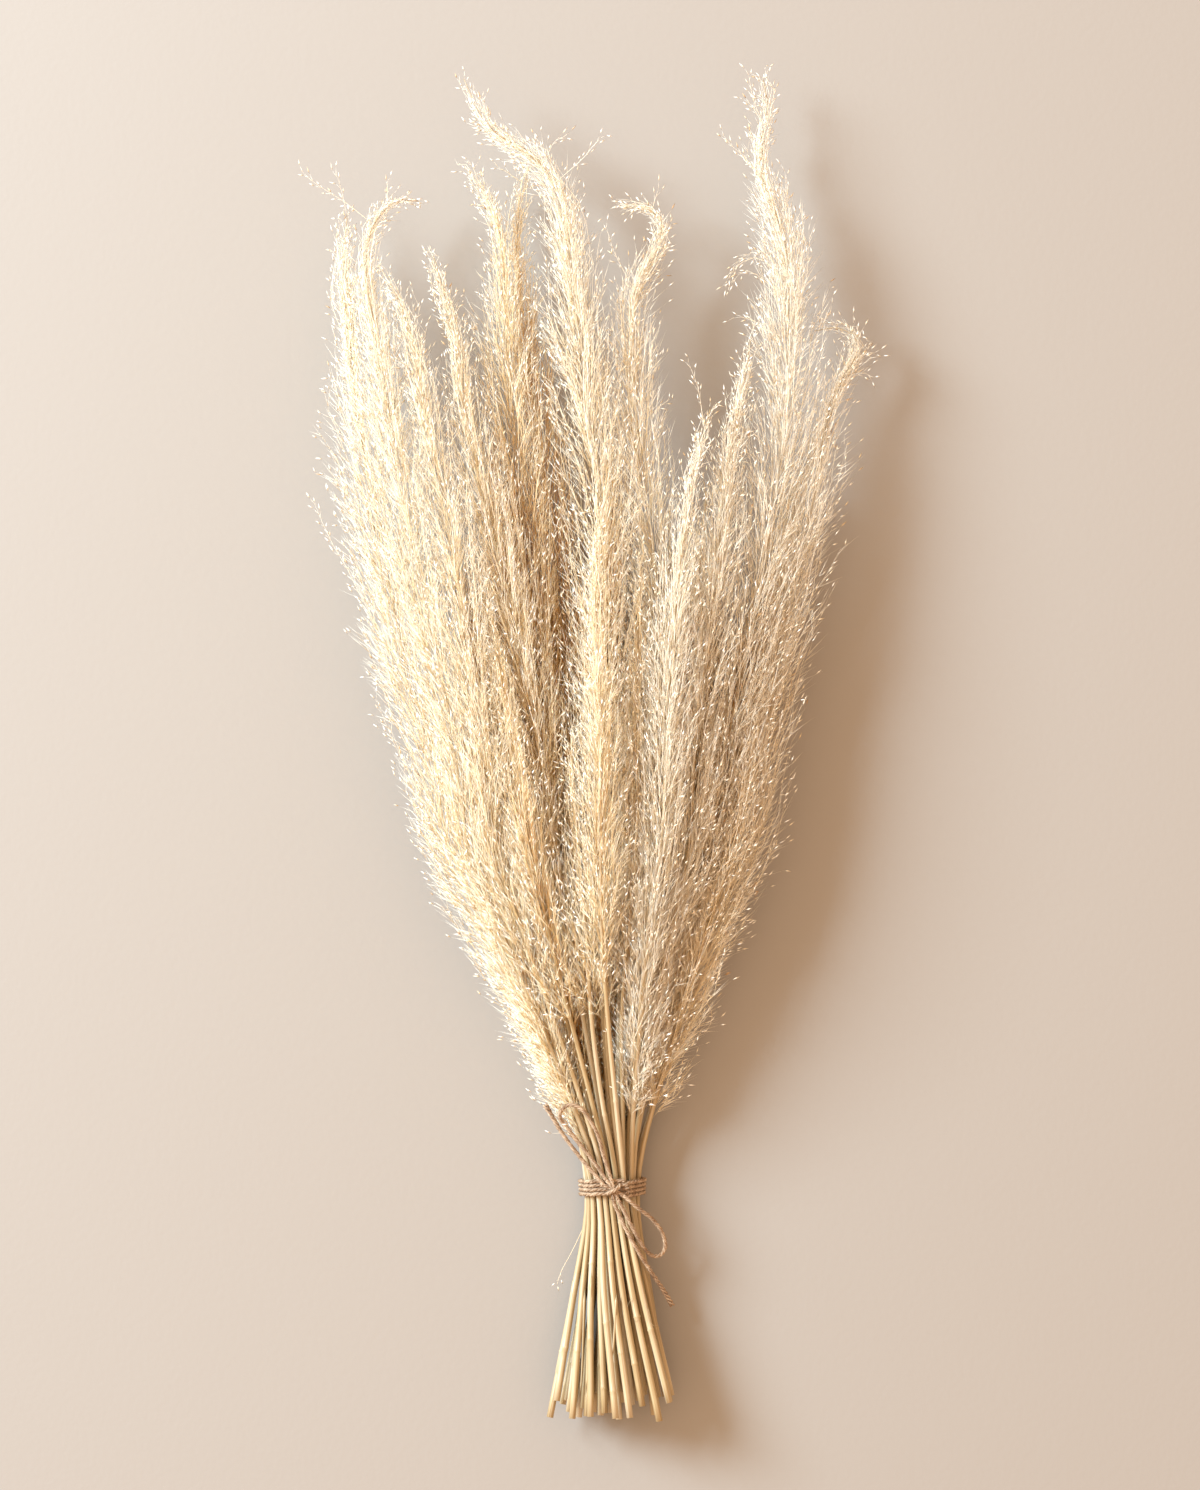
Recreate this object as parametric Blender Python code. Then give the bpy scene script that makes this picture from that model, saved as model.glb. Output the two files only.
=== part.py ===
"""A bundle of dried bent grass: 42 culms with feathery heads, tied with jute twine and laid on a surface.

Metres, +Z up. The bundle lies along Y with its heads towards +Y, and the surface is at Z = 0. The layout is
worked out from the tie, which is at the layout's own origin, and ORIGIN_SHIFT then brings the middle of the
finished bundle over the world origin.
"""
import math
import random

import bmesh
import bpy
import numpy as np
from mathutils import Matrix, Vector

# Driving dimensions of the bundle
ORIGIN_SHIFT = Vector((0.0123, -0.2476, 0.0))
CULM_GAP = 0.0003
SEED = 11
WELD = 0.00001

# The bundle's section at a few distances along it: place, middle across, half width, middle height,
# half thickness (all of the culms' middle lines) and twist in degrees
SECTIONS = (
    (-0.130, 0.0030, 0.0360, 0.0190, 0.0150, -26.0),
    (-0.060, 0.0010, 0.0220, 0.0145, 0.0110, -15.0),
    (0.000, 0.0000, 0.0137, 0.0121, 0.0078, 0.0),
    (0.050, -0.0020, 0.0250, 0.0170, 0.0120, 18.0),
    (0.110, -0.0050, 0.0460, 0.0250, 0.0180, 25.0),
    (0.200, -0.0070, 0.0740, 0.0315, 0.0240, 29.0),
    (0.330, -0.0120, 0.1080, 0.0325, 0.0270, 31.0),
    (0.450, -0.0110, 0.1310, 0.0285, 0.0240, 32.0),
    (0.560, -0.0050, 0.1440, 0.0220, 0.0160, 33.0),
    (0.640, -0.0050, 0.1500, 0.0190, 0.0100, 33.0),
)

# Rows of culms at the tie, from the lowest to the highest
TIE_ROWS = (5, 8, 9, 8, 7, 5)

# Where a culm's solid has its rings, along the bundle
STATIONS = (-0.130, -0.060, -0.015, 0.015, 0.050, 0.095, 0.140, 0.190, 0.240,
            0.290, 0.340, 0.390, 0.440, 0.490, 0.540, 0.590, 0.640)

# How the culms are pushed apart: rounds, the share of them with the pull back to the wanted place, and the
# strength of the push, of the smoothing along a culm and of the pull
SETTLE_ROUNDS = 700
SETTLE_PULLED = 0.75
SETTLE_PUSH = 0.45
SETTLE_SMOOTH = 0.12
SETTLE_PULL = 0.01
FLOOR_SHARE = 0.58

# One culm: its cut end, the stem's radii, the head's room and core, and its tip
BUTT_RANGE = (-0.129, -0.114)
STEM_SIZES = ((-0.130, 0.00195), (-0.060, 0.0018), (0.0, 0.00155), (0.050, 0.0015), (0.095, 0.0008))
HEAD_SIZES = ((0.030, 0.0020), (0.050, 0.0028), (0.110, 0.0047), (0.160, 0.0064), (0.220, 0.0078),
              (0.330, 0.0096), (0.640, 0.0100))
HEAD_TAPER = 0.110
HEAD_FIRST = 0.042
CORE_SHARE = 0.40
CORE_START = 0.040
STEM_END = 0.100
STEM_RESOLUTION = 1
CORE_RESOLUTION = 0
TIP_RADIUS = 0.0004
CORE_FADE = 0.060
CORE_TIP_SHARE = 0.25
LEAD_BLEND = 0.120
SHORTEST_SPAN = 0.008
SHOULDER_ROOM = 0.0055
TIP_ROOM = 0.0020
CROOK_DROP = 0.006
INNER_TIPS = (0.240, 0.430)

# One tuft of a head: its distance from the next along the culm, on a leading head and on another, its length,
# its greatest radius, that radius as a share of the room there, and where along the tuft it is; then how near
# the tip the last one starts, how far past the tip it may reach, and its margin inside the culm's room
TUFT_STEP = 0.0240
INNER_TUFT_STEP = 0.0386
TUFT_LENGTH = 0.050
TUFT_RADIUS = 0.0019
TUFT_SHARE = 0.27
TUFT_BELLY = 0.6
TUFT_SIDES = 3
TUFT_LAST = 0.012
TUFT_OVER = 0.006
TUFT_MARGIN = 0.0004
GOLDEN_ANGLE = math.radians(137.5)

# The stray sprigs that reach past the tufts: the culm's number, how far above the tie the sprig leaves it, and
# where the sprig ends, across and along the bundle and above the culm
SPRIG_RADIUS = 0.0013
SPRIGS = (
    (31, 0.300, (-0.1650, 0.383, 0.000)),
    (31, 0.538, (-0.1690, 0.563, 0.002)),
    (13, 0.470, (0.1444, 0.466, 0.000)),
    (42, 0.262, (-0.0040, 0.304, 0.013)),
)

# The leading heads, which make the bundle's outline: how high each lies in the bundle, from -1 to 1, its
# middle line across and along the bundle up to the shoulder, and the crook of its tip after that
LEADING_HEADS = (
    (0.10, ((-0.095, 0.230), (-0.113, 0.290), (-0.126, 0.350), (-0.138, 0.410), (-0.147, 0.470)),
     ((-0.149, 0.496), (-0.151, 0.520), (-0.149, 0.541))),
    (0.45, ((-0.080, 0.240), (-0.099, 0.310), (-0.112, 0.380), (-0.124, 0.440), (-0.133, 0.488)),
     ((-0.136, 0.512), (-0.134, 0.530), (-0.127, 0.544), (-0.118, 0.550), (-0.107, 0.549))),
    (0.80, ((-0.062, 0.240), (-0.078, 0.320), (-0.092, 0.390), (-0.103, 0.440)),
     ((-0.109, 0.468), (-0.116, 0.492), (-0.127, 0.512))),
    (0.60, ((-0.042, 0.240), (-0.058, 0.320), (-0.073, 0.390), (-0.086, 0.450)),
     ((-0.089, 0.472), (-0.094, 0.492), (-0.101, 0.517))),
    (0.20, ((-0.030, 0.240), (-0.043, 0.330), (-0.051, 0.400), (-0.057, 0.470), (-0.060, 0.515)),
     ((-0.064, 0.538), (-0.071, 0.554), (-0.080, 0.568))),
    (-0.10, ((-0.022, 0.260), (-0.036, 0.360), (-0.046, 0.430), (-0.054, 0.500)),
     ((-0.056, 0.525), (-0.054, 0.548), (-0.050, 0.569))),
    (0.95, ((0.004, 0.240), (-0.001, 0.320), (-0.007, 0.400), (-0.016, 0.470), (-0.026, 0.530)),
     ((-0.030, 0.552), (-0.040, 0.570), (-0.058, 0.581), (-0.072, 0.594), (-0.083, 0.617))),
    (0.60, ((0.028, 0.240), (0.024, 0.320), (0.017, 0.390), (0.010, 0.450), (0.010, 0.488)),
     ((0.016, 0.508), (0.025, 0.522), (0.028, 0.534), (0.021, 0.545), (0.006, 0.546))),
    (0.70, ((0.046, 0.250), (0.056, 0.330), (0.065, 0.400)),
     ((0.069, 0.425), (0.074, 0.448), (0.078, 0.473))),
    (0.95, ((0.026, 0.250), (0.034, 0.330), (0.042, 0.383)),
     ((0.047, 0.406), (0.054, 0.432))),
    (0.30, ((0.064, 0.250), (0.081, 0.330), (0.094, 0.400), (0.099, 0.460), (0.097, 0.515)),
     ((0.092, 0.540), (0.084, 0.562), (0.082, 0.580), (0.087, 0.598), (0.084, 0.618))),
    (0.00, ((0.082, 0.250), (0.098, 0.330), (0.112, 0.390), (0.122, 0.430)),
     ((0.131, 0.452), (0.139, 0.466), (0.138, 0.475), (0.129, 0.480), (0.115, 0.478))),
    (0.95, ((-0.010, 0.130), (-0.017, 0.190), (-0.022, 0.254)), ()),
    (0.95, ((-0.004, 0.230), (-0.007, 0.300), (-0.008, 0.367)), ()),
    (0.95, ((0.010, 0.200), (0.014, 0.290), (0.018, 0.352)), ()),
)

# The twine: its tight wraps, and the free routes from the knot, each from the knot outwards
TWINE_RADIUS = 0.0011
TWINE_GAP = 0.0003
WRAP_PITCH = 0.00235
WRAP_TURNS = 4
WRAP_TILT = 0.0011
WRAP_STEPS = 20
WRAP_START = math.radians(84)
WRAP_RESOLUTION = 1
CORD_RESOLUTION = 2
ROUTE_PARTS = 12
FLOOR_CUT = 0.05
KNOT_MIDDLE = Vector((0.0014, -0.0002, 0.0279))
KNOT_OVERRUN = 0.0009
KNOT_STUB = 0.0022
KNOT_BAND = ((-0.0026, -0.0026, 0.0260), (-0.0010, -0.0016, 0.0288), (0.0016, -0.0002, 0.0302),
             (0.0038, 0.0014, 0.0292), (0.0050, 0.0026, 0.0268))
CORD_STEP = 0.0052
CORD_ROUTES = {
    "twine_loop_upper": (
        (0.0000, 0.0048, 0.0282), (-0.0022, 0.0115, 0.0284), (-0.0045, 0.0190, 0.0290),
        (-0.0078, 0.0308, 0.0310), (-0.0120, 0.0390, 0.0325), (-0.0155, 0.0440, 0.0336),
        (-0.0203, 0.0472, 0.0334), (-0.0252, 0.0468, 0.0322), (-0.0285, 0.0430, 0.0304),
        (-0.0283, 0.0388, 0.0290), (-0.0250, 0.0345, 0.0280), (-0.0165, 0.0238, 0.0270),
        (-0.0085, 0.0134, 0.0274), (-0.0030, 0.0054, 0.0282)),
    "twine_tail_upper": (
        (-0.0046, 0.0026, 0.0280), (-0.0092, 0.0080, 0.0270), (-0.0180, 0.0182, 0.0256),
        (-0.0256, 0.0282, 0.0254), (-0.0314, 0.0375, 0.0260), (-0.0370, 0.0472, 0.0270)),
    "twine_loop_lower": (
        (0.0064, -0.0032, 0.0284), (0.0105, -0.0068, 0.0282), (0.0160, -0.0115, 0.0264),
        (0.0222, -0.0165, 0.0236), (0.0278, -0.0240, 0.0210), (0.0298, -0.0315, 0.0194),
        (0.0282, -0.0366, 0.0192), (0.0240, -0.0380, 0.0200), (0.0202, -0.0358, 0.0218),
        (0.0162, -0.0300, 0.0248), (0.0107, -0.0196, 0.0276), (0.0062, -0.0106, 0.0282),
        (0.0036, -0.0055, 0.0284)),
    "twine_tail_lower": (
        (0.0008, -0.0056, 0.0280), (0.0032, -0.0120, 0.0270), (0.0070, -0.0204, 0.0268),
        (0.0116, -0.0290, 0.0270), (0.0164, -0.0375, 0.0248), (0.0222, -0.0470, 0.0202),
        (0.0284, -0.0567, 0.0160), (0.0340, -0.0664, 0.0128)),
}

# Materials, with linear colours
STRAW_COLOUR = (0.70, 0.56, 0.34, 1.0)
STRAW_ROUGHNESS = 0.6
JUTE_COLOUR = (0.36, 0.22, 0.11, 1.0)
JUTE_ROUGHNESS = 0.9


def clear_scene():
    """Remove what is in the scene, objects and loose meshes alike."""
    for thing in list(bpy.data.objects):
        bpy.data.objects.remove(thing, do_unlink=True)
    for mesh in list(bpy.data.meshes):
        bpy.data.meshes.remove(mesh)


def new_collection(name):
    """A collection of its own, in the scene."""
    group = bpy.data.collections.new(name)
    bpy.context.scene.collection.children.link(group)
    return group


def new_material(name, colour, roughness):
    """A plain dry material of one colour."""
    material = bpy.data.materials.new(name)
    material.use_nodes = True
    shader = material.node_tree.nodes["Principled BSDF"]
    shader.inputs["Base Color"].default_value = colour
    shader.inputs["Roughness"].default_value = roughness
    shader.inputs["Metallic"].default_value = 0.0
    return material


def section_at(along):
    """The bundle's section at any distance along it, by smooth steps between the named sections."""
    table = np.array(SECTIONS)
    knots = table[:, 0]
    slopes = np.gradient(table[:, 1:], knots, axis=0)
    low = int(np.clip(np.searchsorted(knots, along) - 1, 0, len(knots) - 2))
    span = knots[low + 1] - knots[low]
    t = (along - knots[low]) / span
    start = table[low, 1:]
    end = table[low + 1, 1:]
    rise = end - start
    bend_in = slopes[low] * span
    bend_out = slopes[low + 1] * span
    second = 3 * rise - 2 * bend_in - bend_out
    third = bend_in + bend_out - 2 * rise
    return start + t * (bend_in + t * (second + t * third))


def size_at(sizes, along):
    """A radius at any distance along the bundle, from a short list of places and sizes."""
    places, radii = zip(*sizes)
    return np.interp(along, places, radii)


def tie_places():
    """Each culm's place in the tied section, as shares of its half width and half thickness."""
    places = []
    widest = max(TIE_ROWS)
    for row, count in enumerate(TIE_ROWS):
        height = 2 * row / (len(TIE_ROWS) - 1) - 1
        for column in range(count):
            places.append(((2 * column - count + 1) / (widest - 1), height))
    return np.array(places)


def fanned(share, along):
    """Where a place in the tied section has moved to, further along the fanned and twisted bundle."""
    middle_x, half_width, middle_z, half_thick, twist = section_at(along)
    turn = math.radians(twist)
    across = share[0] * math.cos(turn) - share[1] * math.sin(turn)
    up = share[0] * math.sin(turn) + share[1] * math.cos(turn)
    return middle_x + half_width * across, middle_z + half_thick * up


class Culm:
    """One grass stalk: its place in the tie, its ends, and its leading route if it has one."""

    def __init__(self, number, share, draw):
        self.number = number
        self.name = "culm_%02d" % number
        self.share = share
        self.butt = draw.uniform(*BUTT_RANGE)
        self.tip = draw.uniform(*INNER_TIPS)
        self.turn = draw.uniform(0, 2 * math.pi)
        self.route = None
        self.crook = ()

    def lead(self, route, crook):
        """Take one of the leading routes, up to its shoulder, and the crook after it."""
        self.route = [Vector(point) for point in route]
        self.crook = [Vector(point) for point in crook]
        self.tip = self.route[-1].y

    def wanted(self, along):
        """Where the culm would run across and above, at one distance along the bundle."""
        x, z = fanned(self.share, along)
        if self.route is None:
            return x, z
        places = [point.y for point in self.route]
        sides = [point.x for point in self.route]
        x_route = np.interp(along, places, sides)
        blend = min(1.0, max(0.0, 1 - (places[0] - along) / LEAD_BLEND))
        blend = blend * blend * (3 - 2 * blend)
        return x + blend * (x_route - x), z

    def reach(self, along):
        """The room that the culm takes round its middle line, head included."""
        if along < self.butt or along > self.tip:
            return 0.0
        stem = float(size_at(STEM_SIZES, along))
        if along < HEAD_SIZES[0][0]:
            return stem
        left = self.tip - along
        shoulder = SHOULDER_ROOM if self.crook else TIP_ROOM
        fade = math.sqrt(min(1.0, left / HEAD_TAPER))
        head = float(size_at(HEAD_SIZES, along))
        return max(stem * fade, shoulder + (head - shoulder) * fade)


def make_culms():
    """All culms, with the leading routes given to the free ones that lie nearest."""
    draw = random.Random(SEED)
    culms = [Culm(number + 1, share, draw) for number, share in enumerate(tie_places())]
    free = list(culms)
    for height, route, crook in LEADING_HEADS:
        start = Vector(route[0])
        middle_x, half_width, _, _, twist = section_at(start.y)
        turn = math.radians(twist)
        across = (start.x - middle_x) / half_width
        p = across * math.cos(turn) + height * math.sin(turn)
        q = height * math.cos(turn) - across * math.sin(turn)
        chosen = min(free, key=lambda culm: (culm.share[0] - p) ** 2 + (culm.share[1] - q) ** 2)
        free.remove(chosen)
        chosen.lead(route, crook)
    return culms


def settle(culms):
    """Push the culms' middle lines apart until no two share room, and return their places at each station."""
    stations = np.array(STATIONS)
    wanted = np.array([[culm.wanted(y) for y in stations] for culm in culms])
    place = wanted.copy()
    shares = np.array((0.0, 1 / 3, 2 / 3))
    low = np.repeat(np.arange(len(stations) - 1), len(shares))
    t = np.tile(shares, len(stations) - 1)
    along = stations[low] * (1 - t) + stations[low + 1] * t
    room = np.array([[culm.reach(y) for y in along] for culm in culms])
    above = np.maximum(FLOOR_SHARE * room, np.minimum(room, STEM_SIZES[0][1]))
    present = room > 0
    both = present[:, None, :] & present[None, :, :]
    both &= ~np.eye(len(culms), dtype=bool)[:, :, None]
    needed = room[:, None, :] + room[None, :, :] + CULM_GAP
    weight = (1 - t) ** 2 + t ** 2
    for step in range(SETTLE_ROUNDS):
        here = place[:, low] * (1 - t)[None, :, None] + place[:, low + 1] * t[None, :, None]
        apart = here[:, None] - here[None, :]
        distance = np.maximum(np.linalg.norm(apart, axis=3), WELD)
        short = np.where(both, np.maximum(needed - distance, 0.0), 0.0)
        push = (apart / distance[..., None] * (0.5 * short)[..., None]).sum(axis=1)
        below = np.maximum(above - here[..., 1], 0.0) * present
        push[..., 1] += below
        push *= (SETTLE_PUSH / weight)[None, :, None]
        move = np.zeros_like(place)
        np.add.at(move, (slice(None), low), push * (1 - t)[None, :, None])
        np.add.at(move, (slice(None), low + 1), push * t[None, :, None])
        place += move
        if step < SETTLE_ROUNDS * SETTLE_PULLED:
            offset = place - wanted
            place[:, 1:-1] += SETTLE_SMOOTH * ((offset[:, :-2] + offset[:, 2:]) / 2 - offset[:, 1:-1])
            place -= SETTLE_PULL * (place - wanted)
    return place


def culm_line(culm, place):
    """The culm's middle line from its cut end to its tip, and the room round it at each point."""
    stations = np.array(STATIONS)
    line = []
    room = []
    inside = [y for y in STATIONS if culm.butt < y < culm.tip - SHORTEST_SPAN]
    for along in [culm.butt] + inside + [culm.tip]:
        x = float(np.interp(along, stations, place[:, 0]))
        z = float(np.interp(along, stations, place[:, 1]))
        line.append(Vector((x, along, z)))
        room.append(culm.reach(along))
    last = line[-1]
    for step, point in enumerate(culm.crook, start=1):
        share = step / len(culm.crook)
        x = last.x + point.x - culm.route[-1].x
        line.append(Vector((x, point.y, last.z - CROOK_DROP * share)))
        room.append(SHOULDER_ROOM + (TIP_ROOM - SHOULDER_ROOM) * share)
    return line, room


def core_radius(room, left):
    """How thick the head's core is at one point of the middle line, by the room there and the length left."""
    return max(CORE_SHARE * room * min(1.0, CORE_TIP_SHARE + left / CORE_FADE), TIP_RADIUS)


def tube(name, points, radii, resolution, tilt=0.0):
    """A closed bar along the points, as a mesh object."""
    curve = bpy.data.curves.new(name, "CURVE")
    curve.dimensions = "3D"
    curve.bevel_depth = 1.0
    curve.bevel_resolution = resolution
    curve.use_fill_caps = True
    curve.twist_mode = "MINIMUM"
    spline = curve.splines.new("POLY")
    spline.points.add(len(points) - 1)
    for spot, point, radius in zip(spline.points, points, radii):
        spot.co = (point.x, point.y, point.z, 1.0)
        spot.radius = radius
        spot.tilt = tilt
    guide = bpy.data.objects.new(name + "_curve", curve)
    bpy.context.scene.collection.objects.link(guide)
    graph = bpy.context.evaluated_depsgraph_get()
    mesh = bpy.data.meshes.new_from_object(guide.evaluated_get(graph))
    mesh.name = name
    shape = bmesh.new()
    shape.from_mesh(mesh)
    bmesh.ops.remove_doubles(shape, verts=shape.verts, dist=WELD)
    bmesh.ops.recalc_face_normals(shape, faces=shape.faces)
    shape.to_mesh(mesh)
    shape.free()
    piece = bpy.data.objects.new(name, mesh)
    piece.matrix_world = guide.matrix_world
    bpy.data.objects.remove(guide, do_unlink=True)
    bpy.data.curves.remove(curve)
    return piece


def fuse(body, pieces):
    """Join the pieces to the body with one union, and remove them."""
    group = new_collection(body.name + "_pieces")
    for piece in pieces:
        group.objects.link(piece)
    union = body.modifiers.new("union", "BOOLEAN")
    union.operation = "UNION"
    union.operand_type = "COLLECTION"
    union.collection = group
    union.solver = "EXACT"
    graph = bpy.context.evaluated_depsgraph_get()
    mesh = bpy.data.meshes.new_from_object(body.evaluated_get(graph))
    body.modifiers.clear()
    old = body.data
    body.data = mesh
    mesh.name = body.name
    bpy.data.meshes.remove(old)
    for piece in pieces:
        shape = piece.data
        bpy.data.objects.remove(piece, do_unlink=True)
        bpy.data.meshes.remove(shape)
    bpy.data.collections.remove(group)


def line_lengths(line):
    """The distance along the line to each of its points."""
    lengths = [0.0]
    for before, after in zip(line, line[1:]):
        lengths.append(lengths[-1] + (after - before).length)
    return lengths


def spot_on(line, lengths, room, distance):
    """The place, direction and room at a distance along the line; past its end it runs straight on."""
    index = 0
    while index < len(lengths) - 2 and lengths[index + 1] < distance:
        index += 1
    span = lengths[index + 1] - lengths[index]
    t = (distance - lengths[index]) / span
    place = line[index].lerp(line[index + 1], t)
    direction = (line[index + 1] - line[index]).normalized()
    width = room[index] + (room[index + 1] - room[index]) * min(t, 1.0)
    return place, direction, width


def tuft(name, root, end, radius):
    """One tuft of a head: a three-sided spindle, from a point inside the core to its own end."""
    axis = end - root
    belly = root + TUFT_BELLY * axis
    turn = axis.to_track_quat("Z", "Y").to_matrix().to_4x4()
    shape = bmesh.new()
    for low, high, low_radius, high_radius in ((root, belly, 0.0, radius), (belly, end, radius, 0.0)):
        middle = Matrix.Translation((low + high) / 2)
        bmesh.ops.create_cone(shape, cap_ends=False, segments=TUFT_SIDES, radius1=low_radius,
                              radius2=high_radius, depth=(high - low).length, matrix=middle @ turn)
    bmesh.ops.remove_doubles(shape, verts=shape.verts, dist=WELD)
    mesh = bpy.data.meshes.new(name)
    shape.to_mesh(mesh)
    shape.free()
    return bpy.data.objects.new(name, mesh)


def head_tufts(culm, line, room):
    """The tufts of one head: they climb the core by the golden angle and lean out to the head's own width."""
    lengths = line_lengths(line)
    whole = lengths[-1]
    step = TUFT_STEP if culm.route else INNER_TUFT_STEP
    distance = HEAD_FIRST - culm.butt
    angle = culm.turn
    pieces = []
    while distance < whole - TUFT_LAST:
        root, _, _ = spot_on(line, lengths, room, distance)
        reach = min(TUFT_LENGTH, whole - distance + TUFT_OVER)
        end, direction, width = spot_on(line, lengths, room, distance + reach)
        side = direction.cross(Vector((0, 0, 1))).normalized()
        rise = side.cross(direction)
        end = end + (side * math.cos(angle) + rise * math.sin(angle)) * (width - TUFT_MARGIN)
        end.z = max(end.z, 0.0)
        _, _, belly_room = spot_on(line, lengths, room, distance + TUFT_BELLY * reach)
        radius = min(TUFT_RADIUS, TUFT_SHARE * belly_room)
        pieces.append(tuft(culm.name + "_tuft", root, end, radius))
        distance += step
        angle += GOLDEN_ANGLE
    return pieces


def stray_sprigs(culm, line, room):
    """The culm's stray sprigs, if it has any: each starts inside the core and runs out past the tufts."""
    lengths = line_lengths(line)
    pieces = []
    for number, distance, (across, along, rise) in SPRIGS:
        if number == culm.number:
            root, _, _ = spot_on(line, lengths, room, distance - culm.butt)
            end = Vector((across + ORIGIN_SHIFT.x, along + ORIGIN_SHIFT.y, root.z + rise))
            pieces.append(tuft(culm.name + "_sprig", root, end, SPRIG_RADIUS))
    return pieces


def build_culm(culm, place, material, group):
    """One culm's solid: the round stem, the head's slim core in its top end, tufts and sprigs, all fused."""
    line, room = culm_line(culm, place)
    line = [point + ORIGIN_SHIFT for point in line]
    lengths = line_lengths(line)
    stem = [index for index, point in enumerate(line) if point.y - ORIGIN_SHIFT.y < STEM_END]
    core = [index for index, point in enumerate(line) if point.y - ORIGIN_SHIFT.y > CORE_START]
    stem_radii = [float(size_at(STEM_SIZES, line[index].y - ORIGIN_SHIFT.y)) for index in stem]
    core_radii = [core_radius(room[index], lengths[-1] - lengths[index]) for index in core]
    body = tube(culm.name, [line[index] for index in stem], stem_radii, STEM_RESOLUTION)
    group.objects.link(body)
    core_line = [line[index] for index in core]
    pieces = [tube(culm.name + "_core", core_line, core_radii, CORE_RESOLUTION, culm.turn)]
    pieces += head_tufts(culm, line, room)
    pieces += stray_sprigs(culm, line, room)
    fuse(body, pieces)
    body.data.materials.clear()
    body.data.materials.append(material)
    return body


def smooth_route(points, step):
    """Evenly spaced points on a smooth curve through the route's own points."""
    ends = [2 * points[0] - points[1]] + points + [2 * points[-1] - points[-2]]
    fine = []
    for before, start, end, after in zip(ends, ends[1:], ends[2:], ends[3:]):
        for part in range(ROUTE_PARTS):
            share = part / ROUTE_PARTS
            bend = 2 * before - 5 * start + 4 * end - after
            twist = 3 * start - before - 3 * end + after
            fine.append(start + 0.5 * share * (end - before + share * (bend + share * twist)))
    fine.append(points[-1])
    lengths = line_lengths(fine)
    count = max(2, round(lengths[-1] / step))
    places = [lengths[-1] * index / count for index in range(count + 1)]
    return [Vector([float(np.interp(place, lengths, [point[axis] for point in fine])) for axis in range(3)])
            for place in places]


def wrap_line(places):
    """The path of the tight wraps: a string pulled round the outermost stems of the tied section."""
    stations = np.array(STATIONS)
    clear = TWINE_GAP + TWINE_RADIUS
    line = []
    whole = WRAP_TURNS * WRAP_STEPS
    for step in range(whole + 1):
        angle = WRAP_START + 2 * math.pi * step / WRAP_STEPS
        along = WRAP_PITCH * (0.5 * WRAP_TURNS - step / WRAP_STEPS) + WRAP_TILT * math.cos(angle)
        outward = Vector((math.cos(angle), 0.0, math.sin(angle)))
        radius = float(size_at(STEM_SIZES, along)) + clear
        rims = []
        for place in places:
            x = float(np.interp(along, stations, place[:, 0]))
            z = float(np.interp(along, stations, place[:, 1]))
            rims.append(Vector((x, along, z)) + outward * radius)
        line.append(max(rims, key=lambda rim: rim.dot(outward)))
    return line


def floor_cutter():
    """A block below the surface, which gives the tie's underside its small flat."""
    shape = bmesh.new()
    bmesh.ops.create_cube(shape, size=FLOOR_CUT)
    mesh = bpy.data.meshes.new("floor_cutter")
    shape.to_mesh(mesh)
    shape.free()
    cutter = bpy.data.objects.new("floor_cutter", mesh)
    cutter.location = ORIGIN_SHIFT - Vector((0.0, 0.0, FLOOR_CUT / 2))
    cutter.hide_render = True
    cutter.display_type = "WIRE"
    new_collection("cutters").objects.link(cutter)
    return cutter


def build_tie(places, material, group):
    """The tight part of the twine: its wraps and the knot, with a stub where each free strand leaves it."""
    wraps = [point + ORIGIN_SHIFT for point in wrap_line(places)]
    body = tube("twine_tie", wraps, [TWINE_RADIUS] * len(wraps), WRAP_RESOLUTION)
    group.objects.link(body)
    middle = KNOT_MIDDLE + ORIGIN_SHIFT
    pieces = []
    for name, route in CORD_ROUTES.items():
        strand = [Vector(point) + ORIGIN_SHIFT for point in route]
        exits = [(strand[0], strand[1])]
        if "loop" in name:
            exits.append((strand[-1], strand[-2]))
        for exit_point, beyond in exits:
            way = (beyond - exit_point).normalized()
            start = middle - (exit_point - middle).normalized() * KNOT_OVERRUN
            points = [start, exit_point - way * KNOT_STUB, exit_point - way * TWINE_GAP]
            pieces.append(tube("knot_stub", points, [TWINE_RADIUS] * len(points), WRAP_RESOLUTION))
    band = [Vector(point) + ORIGIN_SHIFT for point in KNOT_BAND]
    pieces.append(tube("knot_band", band, [TWINE_RADIUS] * len(band), WRAP_RESOLUTION))
    fuse(body, pieces)
    cut = body.modifiers.new("flat underside", "BOOLEAN")
    cut.operation = "DIFFERENCE"
    cut.object = floor_cutter()
    body.data.materials.clear()
    body.data.materials.append(material)
    return body


def build_cord(name, route, material, group):
    """One free strand of the twine."""
    strand = [Vector(point) + ORIGIN_SHIFT for point in route]
    points = smooth_route(strand, CORD_STEP)
    cord = tube(name, points, [TWINE_RADIUS] * len(points), CORD_RESOLUTION)
    cord.data.materials.append(material)
    group.objects.link(cord)
    return cord


def main():
    """Lay out the culms together, then build each of them, the tie and the free strands."""
    clear_scene()
    group = new_collection("bent_grass_bundle")
    straw = new_material("straw", STRAW_COLOUR, STRAW_ROUGHNESS)
    jute = new_material("jute", JUTE_COLOUR, JUTE_ROUGHNESS)
    culms = make_culms()
    places = settle(culms)
    for culm, place in zip(culms, places):
        build_culm(culm, place, straw, group)
    build_tie(places, jute, group)
    for name, route in CORD_ROUTES.items():
        build_cord(name, route, jute, group)


main()
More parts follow.
